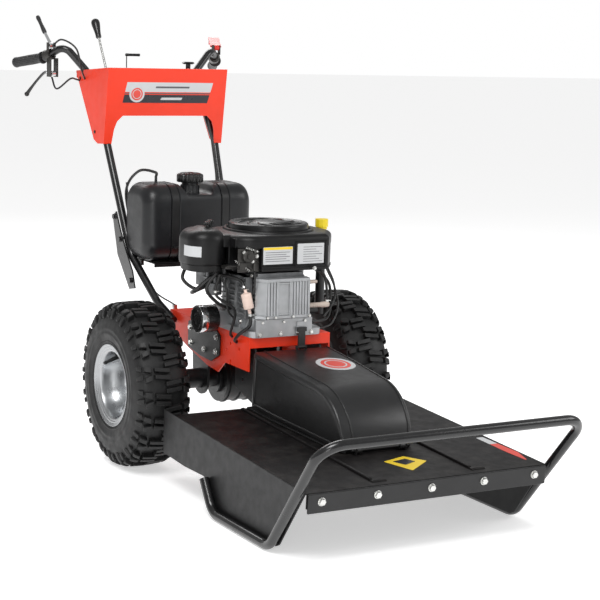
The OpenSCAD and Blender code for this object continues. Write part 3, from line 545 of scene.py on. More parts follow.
# Black brackets bolted over the middle of the chassis sides
brace_line = [(64, 336), (64, 414), (40, 422), (-120, 422), (-152, 404), (-152, 346), (-96, 318), (-20, 322)]
braces = Shape().prism(round_corners(brace_line, [6] * 8, 3), 134.2, 139, YZ).both()
piece("chassis_side_brackets", braces, black_coat, bevel=1.0)
brace_bolts = Shape()
for sx in (-1, 1):
    for y, z in ((46, 398), (-40, 404), (-132, 396), (-128, 352), (40, 352), (-50, 346)):
        brace_bolts.bolt((sx * 139, y, z), (sx, 0, 0), 9)
piece("chassis_bracket_bolts", brace_bolts, zinc, bevel=0.5)

# Generic marks on the deck: a yellow pointed patch, and a pale stripe on the far side
deck_up = ON_DECK.inverted()


def on_top(points):
    return [tuple((deck_up @ Vector((x, y, 187)))[:2]) for x, y in points]


def deck_patch(name, points, lift, material, radius=3.0):
    outline = round_corners(on_top(points), [radius] * len(points), 3)
    piece(name, Shape(ON_DECK).prism(outline, -0.05, lift), material, bevel=0)


deck_patch("deck_mark_yellow", [(-38, -917), (38, -893), (76, -949), (-6, -1008)], 0.5, yellow_film)
deck_patch("deck_mark_centre", [(-16, -925), (30, -914), (44, -944), (2, -962)], 0.8, black_film)
deck_patch("deck_stripe_white", [(330, -812), (353, -812), (356, -878), (331, -878)], 0.5, white_film)
deck_patch("deck_stripe_red", [(331, -878), (356, -878), (361, -966), (338, -1046), (331, -952)], 0.5, red_film)

for node, finish in (("spindle_housing", cast_dark), ("spindle_bearings", zinc), ("spindle_shaft", dark_steel),
                     ("spindle_pulley", dark_steel), ("blade", dark_steel), ("blade_nut", zinc),
                     ("crankshaft", dark_steel), ("input_pulley", dark_steel), ("transaxle", black_coat),
                     ("axle_tubes", black_coat), ("axle_brackets", black_coat), ("chassis_frame", orange),
                     ("crankcase", cast_dark), ("carburettor", cast_dark), ("muffler", dark_steel),
                     ("filler_tube", black_coat), ("handle_brackets", tube_gloss), ("console", orange),
                     ("console_top", black_coat), ("presence_lever", red_plastic), ("pto_knob", knob_plastic),
                     ("lever_perches", dark_steel), ("cover_hinge", black_coat)):
    paint(node, finish, 0.9)
paint("oil_sump", cast, 1.6, 3)
paint("cover_latch", hose_rubber, 1.6, 3)
paint("dipstick", yellow_plastic, 1.2, 3)
for node in ("traction_belt", "blade_belt"):
    paint(node, hose_rubber, 0.6)


# ---- Belt cover ----

def half_width(s):
    if s >= 600:
        return 127.0
    if s >= 270:
        return 113 + 14 * (s - 270) / 330
    return 106 + 7 * max(0, (s - 255)) / 15


def cover_outline():
    line = [(750, 168), (600, 161.2), (500, 156.6)]
    for k in range(14):
        a = math.radians(90 + 90 * k / 13)
        line.append((420 + 162 * math.cos(a), 1 + 152 * math.sin(a)))
    return line


def belt_cover():
    line = cover_outline()
    rear, split = (750, 1), (600, 1)
    bm = bmesh.new()

    def add(side, p):
        return bm.verts.new(ON_DECK @ Vector((side * half_width(p[0]), p[0], p[1])))

    rows = {}
    for side in (-1, 1):
        rows[side] = ([add(side, p) for p in line], add(side, rear), add(side, split))
    sides, caps = [], []
    for side in (-1, 1):
        top, r, s = rows[side]
        sides.append(bm.faces.new([s, r, top[0], top[1]]))
        sides.append(bm.faces.new([s, top[1]] + top[2:]))
    for k in range(len(line) - 1):
        caps.append(bm.faces.new([rows[-1][0][k], rows[-1][0][k + 1], rows[1][0][k + 1], rows[1][0][k]]))
    caps.append(bm.faces.new([rows[-1][0][0], rows[1][0][0], rows[1][1], rows[-1][1]]))
    bmesh.ops.recalc_face_normals(bm, faces=bm.faces)
    inner = bmesh.ops.inset_region(bm, faces=sides, thickness=15, depth=0, use_boundary=True,
                                   use_even_offset=True)
    sides = [f for f in sides if f.is_valid]
    bmesh.ops.inset_region(bm, faces=sides, thickness=2.4, depth=-2.6, use_even_offset=True)
    edge = [e for e in bm.edges if len(e.link_faces) == 2
            and sum(f in caps for f in e.link_faces) == 1 and e.calc_face_angle(0) > 0.6]
    rear_edge = [e for e in bm.edges if len(e.link_faces) == 2 and all(f in caps for f in e.link_faces)
                 and e.calc_face_angle(0) > 0.8]
    bmesh.ops.bevel(bm, geom=edge + rear_edge, offset=9, segments=5, profile=0.5, affect="EDGES",
                    clamp_overlap=True)
    mesh = bpy.data.meshes.new("belt_cover_shell")
    bm.to_mesh(mesh)
    bm.free()
    mesh.transform(Matrix.Scale(MM, 4))
    obj = dress(mesh, "belt_cover_shell", hood_plastic, "cover", replaces=("belt_cover",), angle=20)
    thick = obj.modifiers.new("Thickness", "SOLIDIFY")
    thick.thickness = 3.5 * MM
    thick.offset = -1
    return obj


belt_cover()

flange = Shape(ON_DECK)
flange.prism([(118, 752), (138, 752), (138, 602), (135, 590), (117, 302), (112, 292), (98, 288)], 1, 5)
flange.lathe([(4.1, 0), (9, 0), (9, 16), (4.1, 16)], crosswise((60, 246, 12)), 28,
             closed=True)
flange.block((60, 250, 5), (76, 264, 19))
flange.both()
flange.block((9.5, -358, 387), (12.5, -346, 401), Matrix(ON_DECK).inverted())
flange.block((39.5, -358, 387), (42.5, -346, 401), Matrix(ON_DECK).inverted())
piece("belt_cover_flange", flange, hood_plastic, "cover", bevel=1.2)

welts = Shape(ON_DECK)
for sx in (-1, 1):
    edge_gap = 34 if sx < 0 else 12
    run = [(sx * (half_width(s) - edge_gap), s, n + 0.2) for s, n in cover_outline()[:-1]]
    run[0] = (run[0][0], 744, 168.0)
    welts.sweep(smooth_path(run, 3), 2.4, 12)
piece("belt_cover_welts", welts, hood_plastic, "cover")

# A round generic badge on the cover
badge_at = deck_up @ Vector((47, -515, 374))
slope = math.atan2(168 - 153, 750 - 420)
badge_place = (ON_DECK @ Matrix.Translation((badge_at.x, badge_at.y, 153 + (badge_at.y - 420) * 15 / 330))
               @ Matrix.Rotation(slope, 4, "X"))


def badge(name, place, radius, body, squeeze=1.0):
    """A pale ring round a red disc, with a plain ring inside it."""
    flat = place @ Matrix.Diagonal((1, squeeze, 1, 1))
    piece(name + "_rim", Shape(flat).lathe([(0, -0.4), (radius, -0.4), (radius, 0.5), (0, 0.5)], steps=72),
          white_film, body)
    piece(name + "_disc", Shape(flat).lathe([(0, 0.4), (radius * 0.76, 0.4), (radius * 0.76, 0.8), (0, 0.8)],
                                            steps=72), red_film, body)
    inner = [(radius * 0.5, 0.7), (radius * 0.58, 0.7), (radius * 0.58, 1.05), (radius * 0.5, 1.05)]
    piece(name + "_ring", Shape(flat).lathe(inner, steps=72, closed=True), white_film, body)


badge("cover_badge", badge_place, 56, "cover", 1.07)


# ---- Handle, console and controls ----

lower_path = [(-148, 150, 402), (-152, 262, 442), (-180, 402, 572), (-181, 448, 642)]
upper_path = [(-181, 449, 643.4), (-197, 585, 935), (-197, 750, 1146), (-272, 768, 1232), (-316, 826, 1192),
              (-370, 957, 1170)]
low = Shape().sweep(fillet_path(lower_path, 70, 5), 12.5, 28).both()
piece("lower_handle_tubes", low, tube_gloss, bevel=0.8, angle=50, replaces=("lower_handles",))
high = Shape().sweep(fillet_path(upper_path, 34, 6), 12.5, 28).both()
piece("handlebar_tubes", high, tube_gloss, bevel=0.8, angle=50, replaces=("handlebars",))

grip_way = (Vector(upper_path[5]) - Vector(upper_path[4])).normalized()
grip_end = Vector(upper_path[5]) + grip_way * 4


def ribbed(ribs, depth, heights, place, shape, steps=144):
    """A solid of revolution whose side is fluted. heights are (height, radius, flute) rows."""
    rings = []
    for h, r, flute in heights:
        ring = []
        for k in range(steps):
            a = 2 * math.pi * k / steps
            wave = (0.5 - 0.5 * math.cos(ribs * a)) ** 1.6 * depth * flute
            ring.append(((r - wave) * math.cos(a), (r - wave) * math.sin(a), h))
        rings.append(ring)
    shape.rings(rings, place)


grips = Shape()
ribbed(18, 1.6, [(-136, 14, 0), (-136, 19.6, 0), (-134.5, 20.6, 0), (-131, 20.6, 0), (-129, 19.4, 0),
                    (-127, 16.4, 0), (-122, 16.4, 0), (-118, 16.5, 1), (-80, 17.2, 1), (-40, 16.8, 1),
                    (-10, 16.6, 1), (-7, 17.4, 0), (-2, 17.8, 0), (1.2, 16.4, 0), (2, 13, 0), (2, 2, 0)],
       along(grip_end, grip_end + grip_way), grips)
grips.both()
piece("ribbed_grips", grips, grip_rubber, replaces=("grips",), angle=44)

brake = Vector((-304, 786, 1140))
blade_line = smooth_path([brake + Vector(v) for v in ((-1, 34, 5), (-6, 72, -2), (-15, 112, -28), (-25, 140, -54),
                                                       (-34, 158, -76))], 6)
n = len(blade_line)
blade_radii = [7.6 - 2.6 * math.sin(math.pi * min(1, i / n * 1.05)) for i in range(n)]
lever = Shape().sweep(blade_line, blade_radii, 20, flat=0.72)
tip = Matrix.Translation(brake + Vector((-34, 158, -76)))
lever.lathe([(8.4 * math.sin(math.pi * k / 14), -8.4 * math.cos(math.pi * k / 14)) for k in range(15)], tip, 28)
piece("brake_blade", lever, knob_plastic, "brake", replaces=("brake_lever",))
shank = Shape().sweep(smooth_path([brake, brake + Vector((-0.5, 22, 4)), brake + Vector((-2, 46, 4))], 6),
                      [8, 8, 7.6, 7.2, 7, 6.8, 6.8, 7, 7.2, 7.4, 7.6, 7.8, 8], 20, flat=0.8)
shank.boss(brake, 7)
piece("brake_shank", shank, chrome, "brake", bevel=0.6)

drive = Vector((-306, 802, 1232))
stem = Shape().sweep([drive, drive + Vector((-3, 16, 16)), drive + Vector((-8, 44, 44))], [6, 5.2, 4.8], 20)
stem.boss(drive, 6.5)
piece("drive_stem", stem, chrome, "drive", bevel=0.6, replaces=("drive_lever",))
tail = [drive + Vector((-7, 38, 38)) + (Vector((-7, 54, 56)) * k / 12) for k in range(13)]
piece("drive_handle", Shape().sweep(tail, [5.6, 7.4, 7.5, 7.2, 6.8, 6.4, 6.1, 6, 6.1, 6.5, 7, 7.3, 5.4], 24),
      grip_rubber, "drive", bevel=0.8, angle=40)

shift = Vector((-150, 662, 1094))
rod_end = shift + Vector((0, 112, 176))
rod = Shape().sweep([shift, shift + Vector((0, 56, 88)), rod_end], 3.8, 20)
rod.boss(shift, 8)
piece("gear_rod", rod, zinc, "shift", replaces=("gear_lever",), bevel=0.4)
pear = [(0, -10), (8.6, -10), (9.4, -8.6), (9.2, 0), (10.4, 14), (12.8, 30), (14.4, 42), (14, 50), (11.4, 56.6),
        (7, 60), (3, 61), (0, 61.2)]
piece("gear_knob", Shape().lathe(pear, along(rod_end, rod_end + Vector((0, 30, 48))), 48), knob_plastic, "shift")

pull = Shape().sweep([(-112, 622, 1131), (-112, 622, 1170), (-112, 622, 1210)], 1.7, 14)
piece("choke_wire", pull, dark_steel, "choke", replaces=("choke_handle",))
bar = Shape().lathe([(0, -4), (3.6, -4), (4.8, -2.6), (5, 2), (4.5, 8), (4.5, 38), (5, 43), (4.6, 46), (2.6, 47.6),
                     (0, 48)], crosswise((-112, 622, 1209)), 32)
piece("choke_bar", bar, knob_plastic, "choke")

tilt = math.radians(98)
panel = frame_at((0, 567, 921), (1, 0, 0), (0, math.cos(tilt), math.sin(tilt)),
                 (0, -math.sin(tilt), math.cos(tilt)))


def panel_patch(name, points, lo, hi, material, radii=None):
    outline = round_corners(points, radii or [1.5] * len(points), 3)
    piece(name, Shape(panel).prism(outline, lo, hi), material)


def decal_x(v, edge):
    """The slanted left (-1) or right (1) end of the console's mark at height v."""
    return -158 + (v - 136) * 13 / 68 if edge < 0 else 148 + (v - 136) * 17 / 68


def band(lo, hi):
    return [(decal_x(lo, -1), lo), (decal_x(lo, 1), lo), (decal_x(hi, 1), hi), (decal_x(hi, -1), hi)]


panel_patch("console_mark_white", band(172, 204), 2.4, 2.9, white_film)
panel_patch("console_mark_line", band(166, 169.5), 2.4, 2.9, grey_film, [0] * 4)
panel_patch("console_mark_black", band(136, 163), 2.4, 2.9, black_film)
panel_patch("console_mark_bar", [(-44, 185), (78, 185), (80, 191), (-42, 191)], 2.8, 3.1, grey_film)
panel_patch("console_mark_dash", [(-24, 146), (52, 146), (56, 154), (-20, 154)], 2.8, 3.1, white_film)
badge("console_badge", panel @ Matrix.Translation((-109, 165, 3.0)), 27, "chassis")

screws = Shape()
for sx in (-1, 1):
    for y, z in ((640, 955), (770, 1126)):
        screws.lathe([(0, 0), (5.5, 0), (5.2, 2), (3.4, 3.2), (0, 3.4)],
                     crosswise((sx * 214, y, z), sx), 24)
    for x, y in ((sx * 190, 560), (sx * 190, 760)):
        z = 1162 + (y - 537) * -0.0733
        screws.lathe([(0, 0), (5.5, 0), (5.2, 2), (3.4, 3.2), (0, 3.4)], Matrix.Translation((x, y, z)), 24)
piece("console_screws", screws, black_coat)


# ---- Engine ----

def side_ring(outline, z, inset=0.0):
    """An outline at height z, drawn in by inset towards its middle."""
    xs, ys = [p[0] for p in outline], [p[1] for p in outline]
    cx, cy = (min(xs) + max(xs)) / 2, (min(ys) + max(ys)) / 2
    kx, ky = 1 - inset / ((max(xs) - min(xs)) / 2), 1 - inset / ((max(ys) - min(ys)) / 2)
    return [(cx + (x - cx) * kx, cy + (y - cy) * ky, z) for x, y in outline]


def dome(outline, levels):
    return [side_ring(outline, z, inset) for z, inset in levels]


def edge_levels(z_side, z_top, radius, n=6):
    """Heights and insets that round a top edge over."""
    return [(z_side, 0)] + [(z_top - radius + radius * math.sin(math.pi / 2 * k / n),
                             radius - radius * math.cos(math.pi / 2 * k / n)) for k in range(n + 1)]


shroud_plan = round_corners([(-174, -333.6), (120, -333.6), (178, -250), (178, -62), (-174, -62)],
                            [70, 9, 60, 80, 80], 8)
shroud = Shape()
shroud.rings(dome(shroud_plan, edge_levels(686, 722, 17)))
skirt_plan = round_corners([(-100, -332.4), (119, -332.4), (176.6, -250), (176.6, -64), (-172, -64),
                            (-172, -262), (-100, -262)], [2, 8, 59, 78, 78, 4, 4], 8)
shroud.rings([[(x, y, 618) for x, y in skirt_plan], [(x, y, 688) for x, y in skirt_plan]])
lip_plan = round_corners([(-101, -334.4), (120.4, -334.4), (178, -251), (178, -62), (-173, -62), (-173, -263),
                          (-101, -263)], [2, 8, 59, 78, 78, 4, 4], 8)
shroud.rings([[(x, y, 618) for x, y in lip_plan], [(x, y, 626) for x, y in lip_plan]])
shroud.block((-170, -300, 686), (-130, -110, 712))
piece("shroud_shell", shroud, engine_plastic, bevel=1.2, segments=2, angle=40, replaces=("blower_housing",))
collar = Shape(Matrix.Translation((0, -180, 0)))
collar.lathe([(122, 718), (136, 718), (135, 723), (132, 727), (126, 727.6), (123.6, 725)], steps=96, closed=True)
piece("screen_collar", collar, engine_plastic, bevel=0.4)
frames = Shape()
for x0, x1, z0, z1 in ((-98, 0, 637, 690), (12, 106, 634, 698)):
    outer = [(x0 - 4, z0 - 4), (x1 + 4, z0 - 4), (x1 + 4, z1 + 4), (x0 - 4, z1 + 4)]
    front = frame_at((0, -332, 0), (1, 0, 0), (0, 0, 1), (0, -1, 0))
    for a, b in ((outer[0], (x1 + 4, z0 - 1)), ((x0 - 4, z1 + 1), outer[2]), (outer[0], (x0 - 1, z1 + 4)),
                 ((x1 + 1, z0 - 4), outer[2])):
        frames.block((a[0], a[1], 0), (b[0], b[1], 3.4), front)
piece("label_frames", frames, engine_plastic, bevel=0.7)
labels = frame_at((0, -333.2, 0), (1, 0, 0), (0, 0, 1), (0, -1, 0))


def label(name, x0, x1, z0, z1, lo, hi, material, place=labels, body="chassis"):
    outline = round_corners([(x0, z0), (x1, z0), (x1, z1), (x0, z1)], [1.5] * 4, 3)
    piece(name, Shape(place).prism(outline, lo, hi), material, body)


label("label_one", -97, -1, 639, 689, 0, 1.0, white_film)
label("label_one_head", -96, -2, 681, 688, 0.9, 1.2, yellow_film)
label("label_two", 15, 103, 637, 696, 0, 1.0, white_film)
rules = Shape(labels)
for k in range(5):
    rules.block((-90, 647 + k * 6.4, 0.9), (-10 - 12 * (k % 2), 648.6 + k * 6.4, 1.15))
for k in range(7):
    rules.block((34, 643 + k * 7, 0.9), (97 - 10 * (k % 3), 644.4 + k * 7, 1.15))
piece("label_rules", rules, grey_film)

screen = Shape(Matrix.Translation((0, -180, 0)))
screen.lathe([(0, 719), (117, 719), (119, 721), (119, 737), (117.6, 741), (114, 743.6), (109, 744), (105, 742),
              (100, 740.6), (78, 741.6), (56, 743.4), (47, 744.4), (43, 746), (38, 746.8), (0, 747)], steps=128)
for k in range(9):
    line, radii = [], []
    for i in range(11):
        f = i / 10
        r = 46 + 55 * f
        a = 2 * math.pi * k / 9 + 1.0 * f
        line.append((r * math.cos(a), r * math.sin(a), 743.6 - 3.4 * f))
        radii.append(1.8 + 2.2 * math.sin(math.pi * f))
    screen.sweep(line, radii, 10)
piece("rotating_screen_cap", screen, screen_plastic, "crank", replaces=("rotating_screen",), angle=26)

lobe_x, lobe_y, lobe_r = -232, -210, 56
lobe_plan = round_rect(116, 150, lobe_r, 10, lobe_x, lobe_y)
lobe = Shape()
lobe.rings(dome(lobe_plan, [(616, 7), (617, 6), (634, 4.2), (636, 1.4), (640, 0)]
                + edge_levels(692, 735, 32, 9)[1:] + [(738, 40), (740.4, 47), (741, 53)]))
piece("air_cleaner_lobe", lobe, engine_plastic, replaces=("air_cleaner",), angle=30)
bridge = Shape()
bridge.rings(dome(round_rect(70, 136, 20, 6, -172, -204), edge_levels(686, 720, 14)))
piece("lobe_bridge", bridge, engine_plastic)
knobs = Shape()
for x, y in ((-222, -222), (-196, -186)):
    ribbed(8, 2.2, [(718, 5, 0), (745, 5, 0), (745.4, 9, 1), (747, 10, 1), (753, 10, 1), (755, 8.4, 1),
                       (755.4, 2, 0)], Matrix.Translation((x, y, 0)), knobs, 64)
piece("lobe_knobs", knobs, knob_plastic)
lobe_label = Shape()
angle_of = [math.radians(180 + 90 * k / 8) for k in range(9)]
corner = (lobe_x - 58 + lobe_r, lobe_y - 75 + lobe_r)
wrap = [(corner[0] + (lobe_r + 0.4) * math.cos(a), corner[1] + (lobe_r + 0.4) * math.sin(a)) for a in angle_of[1:6]]
wrap = [(lobe_x - 58.4, -214), (lobe_x - 58.4, -227)] + wrap
rings = []
for x, y in wrap:
    out = Vector((x - lobe_x, y - lobe_y, 0)).normalized() * 0.9
    rings.append([(x - out.x, y - out.y, 660), (x + out.x * 0.2, y + out.y * 0.2, 660),
                  (x + out.x * 0.2, y + out.y * 0.2, 690), (x - out.x, y - out.y, 690)])
lobe_label.rings(rings)
piece("lobe_label", lobe_label, white_film)

# Valve cover: a casting with upright pleats, a recessed middle band, and flanges top and bottom
cover = Shape()
cover.rings([[(-114, -319, 484), (54, -319, 484), (54, -346, 484), (-90, -346, 484)],
             [(-112, -319, 590), (52, -319, 590), (50, -344, 590), (-87, -344, 590)]])
cover.prism([(-118, -331), (-118, -318), (58, -318), (58, -331), (54, -351), (-94, -351)], 482, 491)
cover.prism([(-116, -318), (55, -318), (52, -349), (-89, -349)], 588, 598)
for k in range(15):
    x = -82 + 9.4 * k
    if not -50 < x < -14:
        cover.sweep([(x, -346.4, 490), (x, -345.4, 540), (x, -344.4, 590)], 4.1, 12)
cover.block((-54, -348.6, 490), (-49, -344, 590))
cover.block((-15, -348.6, 490), (-10, -344, 590))
for z in (495, 584):
    cover.block((-49, -347.6, z - 3), (-15, -344, z + 3))
piece("valve_cover", cover, cast_fine, replaces=("rocker_cover",), bevel=1.2, segments=2, angle=36)
small = Shape()
for x, z in ((-88, 487), (-62, 487), (-4, 487), (50, 487)):
    small.bolt((x, -351, z), (0, -1, 0), 5.2, washer=False)
for x in (-108, -40, 20, 62):
    small.bolt((x, -343, 437), (0, -1, 0), 7)
for x in (-100, -30, 40):
    small.bolt((x, -343, 472), (0, -1, 0), 5.5, washer=False)
for x, y, z in ((-141, -290, 470), (-141, -120, 470), (-160, -250, 600), (-118, -306, 606), (-126, -240, 540)):
    small.bolt((x, y, z), (-1, 0, 0), 7)
small.bolt((66, -346, 624), (0, -1, 0), 6)
piece("engine_screws", small, zinc, bevel=0.4)
webs = Shape()
for x in (-116, -84, -24, 30, 58):
    webs.prism([(-343, 431), (-336, 431), (-336, 478), (-340, 478)], x, x + 4,
               YZ)
for y in (-300, -262, -224, -110, -60):
    webs.prism([(-133, 446), (-112, 446), (-112, 481), (-120, 481)], y, y + 4,
               frame_at((0, 0, 0), (1, 0, 0), (0, 0, 1), (0, -1, 0)) @ Matrix.Diagonal((1, 1, -1, 1)))
piece("sump_webs", webs, cast, bevel=1.0)
flank = Shape().block((-133, -300, 478), (-112, -150, 600))
for z in range(490, 596, 15):
    flank.block((-139, -297, z), (-112, -153, z + 5))
for y in (-262, -206):
    flank.block((-143, y, 482), (-132, y + 12, 596))
piece("crankcase_flank", flank, cast_dark, bevel=1.0)

filter_place = frame_at((-168, -173, 463), (0, 1, 0), (0, 0, -1), (-1, 0, 0))
can = Shape(filter_place)
can.lathe([(0, 36), (40.4, 36), (41, 37.6), (41, 55), (40.2, 56.6), (0, 56.6)], steps=96)
piece("oil_filter_band", can, chrome, replaces=("oil_filter",), bevel=0.5)
can = Shape(filter_place)
can.lathe([(0, 0.4), (38.6, 0.4), (38.6, 6), (40.4, 7), (40.4, 36.4), (0, 36.4)], steps=96)
can.lathe([(0, 55.6), (39.4, 55.6), (38.8, 58), (36, 60), (31.5, 60.8), (28, 59.4), (25, 57.6), (18, 57.6),
           (15, 58.8), (11, 59.2), (0, 59.2)], steps=96)
for k in range(12):
    a = 2 * math.pi * k / 12
    can.block((31, -4, 56), (38.4, 4, 60), Matrix.Rotation(a, 4, "Z"))
piece("oil_filter_can", can, knob_plastic, bevel=0.6, angle=40)

end, top = Vector((-133, -322, 512)), Vector((-141, -316, 556))
length = (top - end).length
ff = Shape(along(end, top))
ff.lathe([(0, -14), (4.6, -14), (4.6, -3), (9, -1), (14.2, 1), (15, 3), (15, length - 3), (14.2, length - 1),
          (9, length + 1), (4.6, length + 3), (4.6, length + 12), (0, length + 12)], steps=40)
for h in (10, length - 10):
    ff.lathe([(14.6, h - 2), (15.6, h - 1), (15.6, h + 1), (14.6, h + 2)], steps=40, closed=True)
piece("fuel_filter_body", ff, pale_plastic, replaces=("fuel_filter",))

boot = Shape(crosswise((59.5, -304, 508)))
boot.lathe([(0, 0), (10.6, 0), (10.6, 9), (7.4, 11), (7, 18), (7.2, 54), (8.6, 58), (8.6, 79), (7, 82), (0, 82)],
           steps=32)
for h in range(22, 54, 7):
    boot.lathe([(6.6, h - 2), (8, h), (6.6, h + 2)], steps=32, closed=True)
boot.lathe([(0, 0), (5, 0), (6, 4), (6, 30), (4.4, 36), (0, 36)], along((0, 70, 4), (0, 70, 40)), steps=20)
piece("spark_boot", boot, boot_rubber, replaces=("spark_plug",), bevel=0.5)

# Hoses, leads and cables
runs = [
    ([(-129.6, -324.3, 494), (-132, -328, 464), (-146, -292, 434), (-146, -264, 412), (-136, -256, 404)], 5),
    ([(-144.6, -313.5, 570.4), (-150, -292, 592), (-182, -240, 600), (-188, -232, 576)], 5),
    ([(-200, -262, 606), (-210, -262, 548), (-150, -266, 500), (-146, -236, 430), (-136, -226, 414)], 4),
    ([(-226, -262, 600), (-262, -236, 560), (-230, -150, 540), (-180, -120, 548)], 6),
    ([(96, -300, 612), (124, -304, 596), (136, -304, 540), (136, -304, 517)], 4),
    ([(120, -272, 608), (152, -290, 560), (150, -290, 470), (92.5, -300, 456)], 4),
]
loom = Shape()
for pts, r in runs:
    loom.sweep(smooth_path(pts, 10), r, 16)
for pts, r in (([(-188, -250, 600), (-176, -262, 560), (-168, -258, 500), (-140, -250, 470)], 3),
               ([(-214, -268, 612), (-240, -262, 566), (-196, -250, 520), (-150, -240, 500)], 5),
               ([(128, -306, 618), (156, -312, 560), (172, -308, 500), (150, -312, 452), (104, -322, 440)], 2.6),
               ([(140, -296, 616), (160, -300, 570), (166, -296, 520), (128, -302, 470)], 3.2),
               ([(-118, -322, 620), (-120, -330, 590), (-122, -326, 560), (-132, -318, 540)], 3),
               ([(-250, -140, 612), (-262, -150, 580), (-240, -190, 556), (-200, -200, 566)], 5)):
    loom.sweep(smooth_path(pts, 10), r, 14)
piece("engine_hose_loom", loom, hose_rubber, replaces=("engine_hoses",))
clamps = Shape()
for at, to, r in (((-129.6, -324.3, 496), (-130.4, -325.6, 486), 6.2), ((-144.6, -313.5, 570), (-146, -308, 577), 6.2),
                  ((136, -304, 522), (136, -304, 514), 5.4), ((-212, -262, 560), (-211, -262, 552), 5.2)):
    clamps.lathe([(r - 1.6, 0), (r, 0), (r, 6), (r - 1.6, 6)], along(at, to), 28, closed=True)
    clamps.lathe([(0, 0), (1.8, 0), (1.8, 7), (0, 7)], along(Vector(at) + Vector((r, 0, -3)),
                                                           Vector(at) + Vector((r + 6, 0, -3))), 12)
piece("hose_clamps", clamps, zinc)

# Carburettor linkage in the recess beside the shroud
links = Shape()
links.lathe([(0, 0), (16, 0), (18, 3), (18, 10), (15, 13), (0, 13)], along((-142, -322, 664), (-142, -336, 664)), 40)
links.lathe([(0, 12), (7, 12), (7, 17), (0, 17)], along((-142, -322, 664), (-142, -336, 664)), 24)
for a, b, r in (((-168, -318, 680), (-108, -326, 646), 2.2), ((-156, -322, 640), (-118, -326, 622), 2.2),
                ((-196, -300, 634), (-120, -318, 634), 2.6), ((-122, -328, 686), (-122, -328, 622), 3.0)):
    links.sweep([a, [(x + y) / 2 for x, y in zip(a, b)], b], r, 12)
piece("governor_linkage", links, dark_steel, bevel=0.4)
springs = Shape()
for a, b in (((-180, -318, 652), (-136, -326, 622)), ((-112, -330, 676), (-150, -328, 690))):
    a, b = Vector(a), Vector(b)
    place = along(a, b)
    turns, coil = 9, []
    span = (b - a).length
    for k in range(turns * 10 + 1):
        w = 2 * math.pi * k / 10
        coil.append(place @ Vector((3.4 * math.cos(w), 3.4 * math.sin(w), span * k / (turns * 10))))
    springs.sweep(coil, 0.8, 8)
for x, z in ((-128, 650), (-114, 664), (-156, 676)):
    springs.bolt((x, -327, z), (0, -1, 0), 5)
piece("governor_springs", springs, zinc)
bracket = Shape()
bracket.block((-172, -322, 618), (-104, -318, 686))
bracket.block((-168, -327, 626), (-146, -321, 646))
bracket.block((-200, -300, 626), (-172, -262, 634))
piece("governor_bracket", bracket, dark_steel, bevel=1.0)

cables = Shape()
for pts, r in (
        ([(-304, 800, 1126), (-300, 764, 1090), (-262, 742, 1124), (-232, 768, 1122), (-216, 772, 1118)], 3),
        ([(-306, 788, 1232), (-296, 730, 1252), (-262, 690, 1224), (-240, 700, 1160), (-216, 728, 1125)], 3),
        ([(176, 600, 1080), (166, 566, 990), (166, 520, 900), (166, 496, 790), (162, 480, 700), (160, 478, 560),
          (126, 330, 470), (100, 205.5, 440)], 4),
        ([(-160, 500, 800), (-158, 474, 700), (-154, 474, 560), (-136, 330, 470), (-118, 205.5, 440)], 2.5),
        ([(-114, 372, 816.1), (-114, 372, 828), (-115, 376, 843), (-148, 432, 842), (-152, 520, 770),
          (-142, 492, 640), (-140, 480, 540)], 4.5)):
    cables.sweep(smooth_path(pts, 10), r, 14)
piece("cable_runs", cables, hose_rubber, replaces=("control_cables",))

# ---- Fuel tank ----

def tank_ring(x):
    """The tank's section at x, as points in (y, z)."""
    end = 189 - abs(x)
    pull = 0.0
    if end < 44:
        f = (44 - max(end, 0)) / 44
        pull = 40 * (1 - math.sqrt(max(0.0, 1 - f * f)))
    for band_x in (-88, 88):
        d = abs(x - band_x)
        pull += 3.2 * max(0.0, min(1.0, (17 - d) / 3))
    hy, hz, r = 94 - pull, 123 - pull, 56 - pull * 0.6
    ring = round_rect(2 * hy, 2 * hz, max(8, r), 10, 366, 688)
    depth = 34
    drop = depth * max(0.0, min(1.0, (66 - abs(x)) / 26))
    limit = 811 - drop * drop * (3 * depth - 2 * drop) / (depth * depth)
    return [(x, y, min(z, limit + (z - limit) * 0.06)) for y, z in ring]


stations = [-189, -188.4, -186.6, -183.6, -179, -173, -166, -157, -145, -130, -118, -108, -105, -102, -88, -74, -71,
            -68, -62, -56, -50, -44, -38, -20]
stations = stations + [0] + [-x for x in reversed(stations)]
tank = Shape().rings([tank_ring(x) for x in stations])
piece("tank_shell", tank, tank_plastic, angle=34, replaces=("fuel_tank",))
NECK = Matrix.Translation((0, 358, 0))
trim = Shape()
ribbed(24, 1.4, [(770, 36, 0), (776, 33, 0), (779, 31, 1), (800, 31, 1), (803, 30, 0), (804, 27, 0), (812, 26, 0)],
       NECK, trim, 120)
trim.lathe([(0, 798), (9, 798), (9, 806), (6, 808), (4.6, 812), (4.6, 818), (0, 818)],
           Matrix.Translation((-114, 372, 0)), 24)
piece("tank_neck", trim, tank_plastic)
straps = Shape()
for sx in (-88, 88):
    loops = []
    for x, g in ((sx - 12, -2.4), (sx + 12, -2.4), (sx + 12, -0.4), (sx - 12, -0.4)):
        hy, hz = 94 + g, 123 + g
        loops.append([(x, y, z) for y, z in round_rect(2 * hy, 2 * hz, 56 + g, 10, 366, 688)])
    straps.rings(loops, closed=True)
    straps.block((sx - 9, 262, 610), (sx + 9, 276, 616))
straps.block((-152, 288, 559), (152, 440, 563))
straps.block((-152, 288, 549), (152, 291, 562))
straps.block((-152, 437, 549), (152, 440, 562))
straps.block((151, 372, 545), (160, 416, 563)).block((-160, 372, 545), (-151, 416, 563))
piece("tank_straps", straps, black_coat, bevel=0.7, replaces=("tank_bracket",))
cap = Shape()
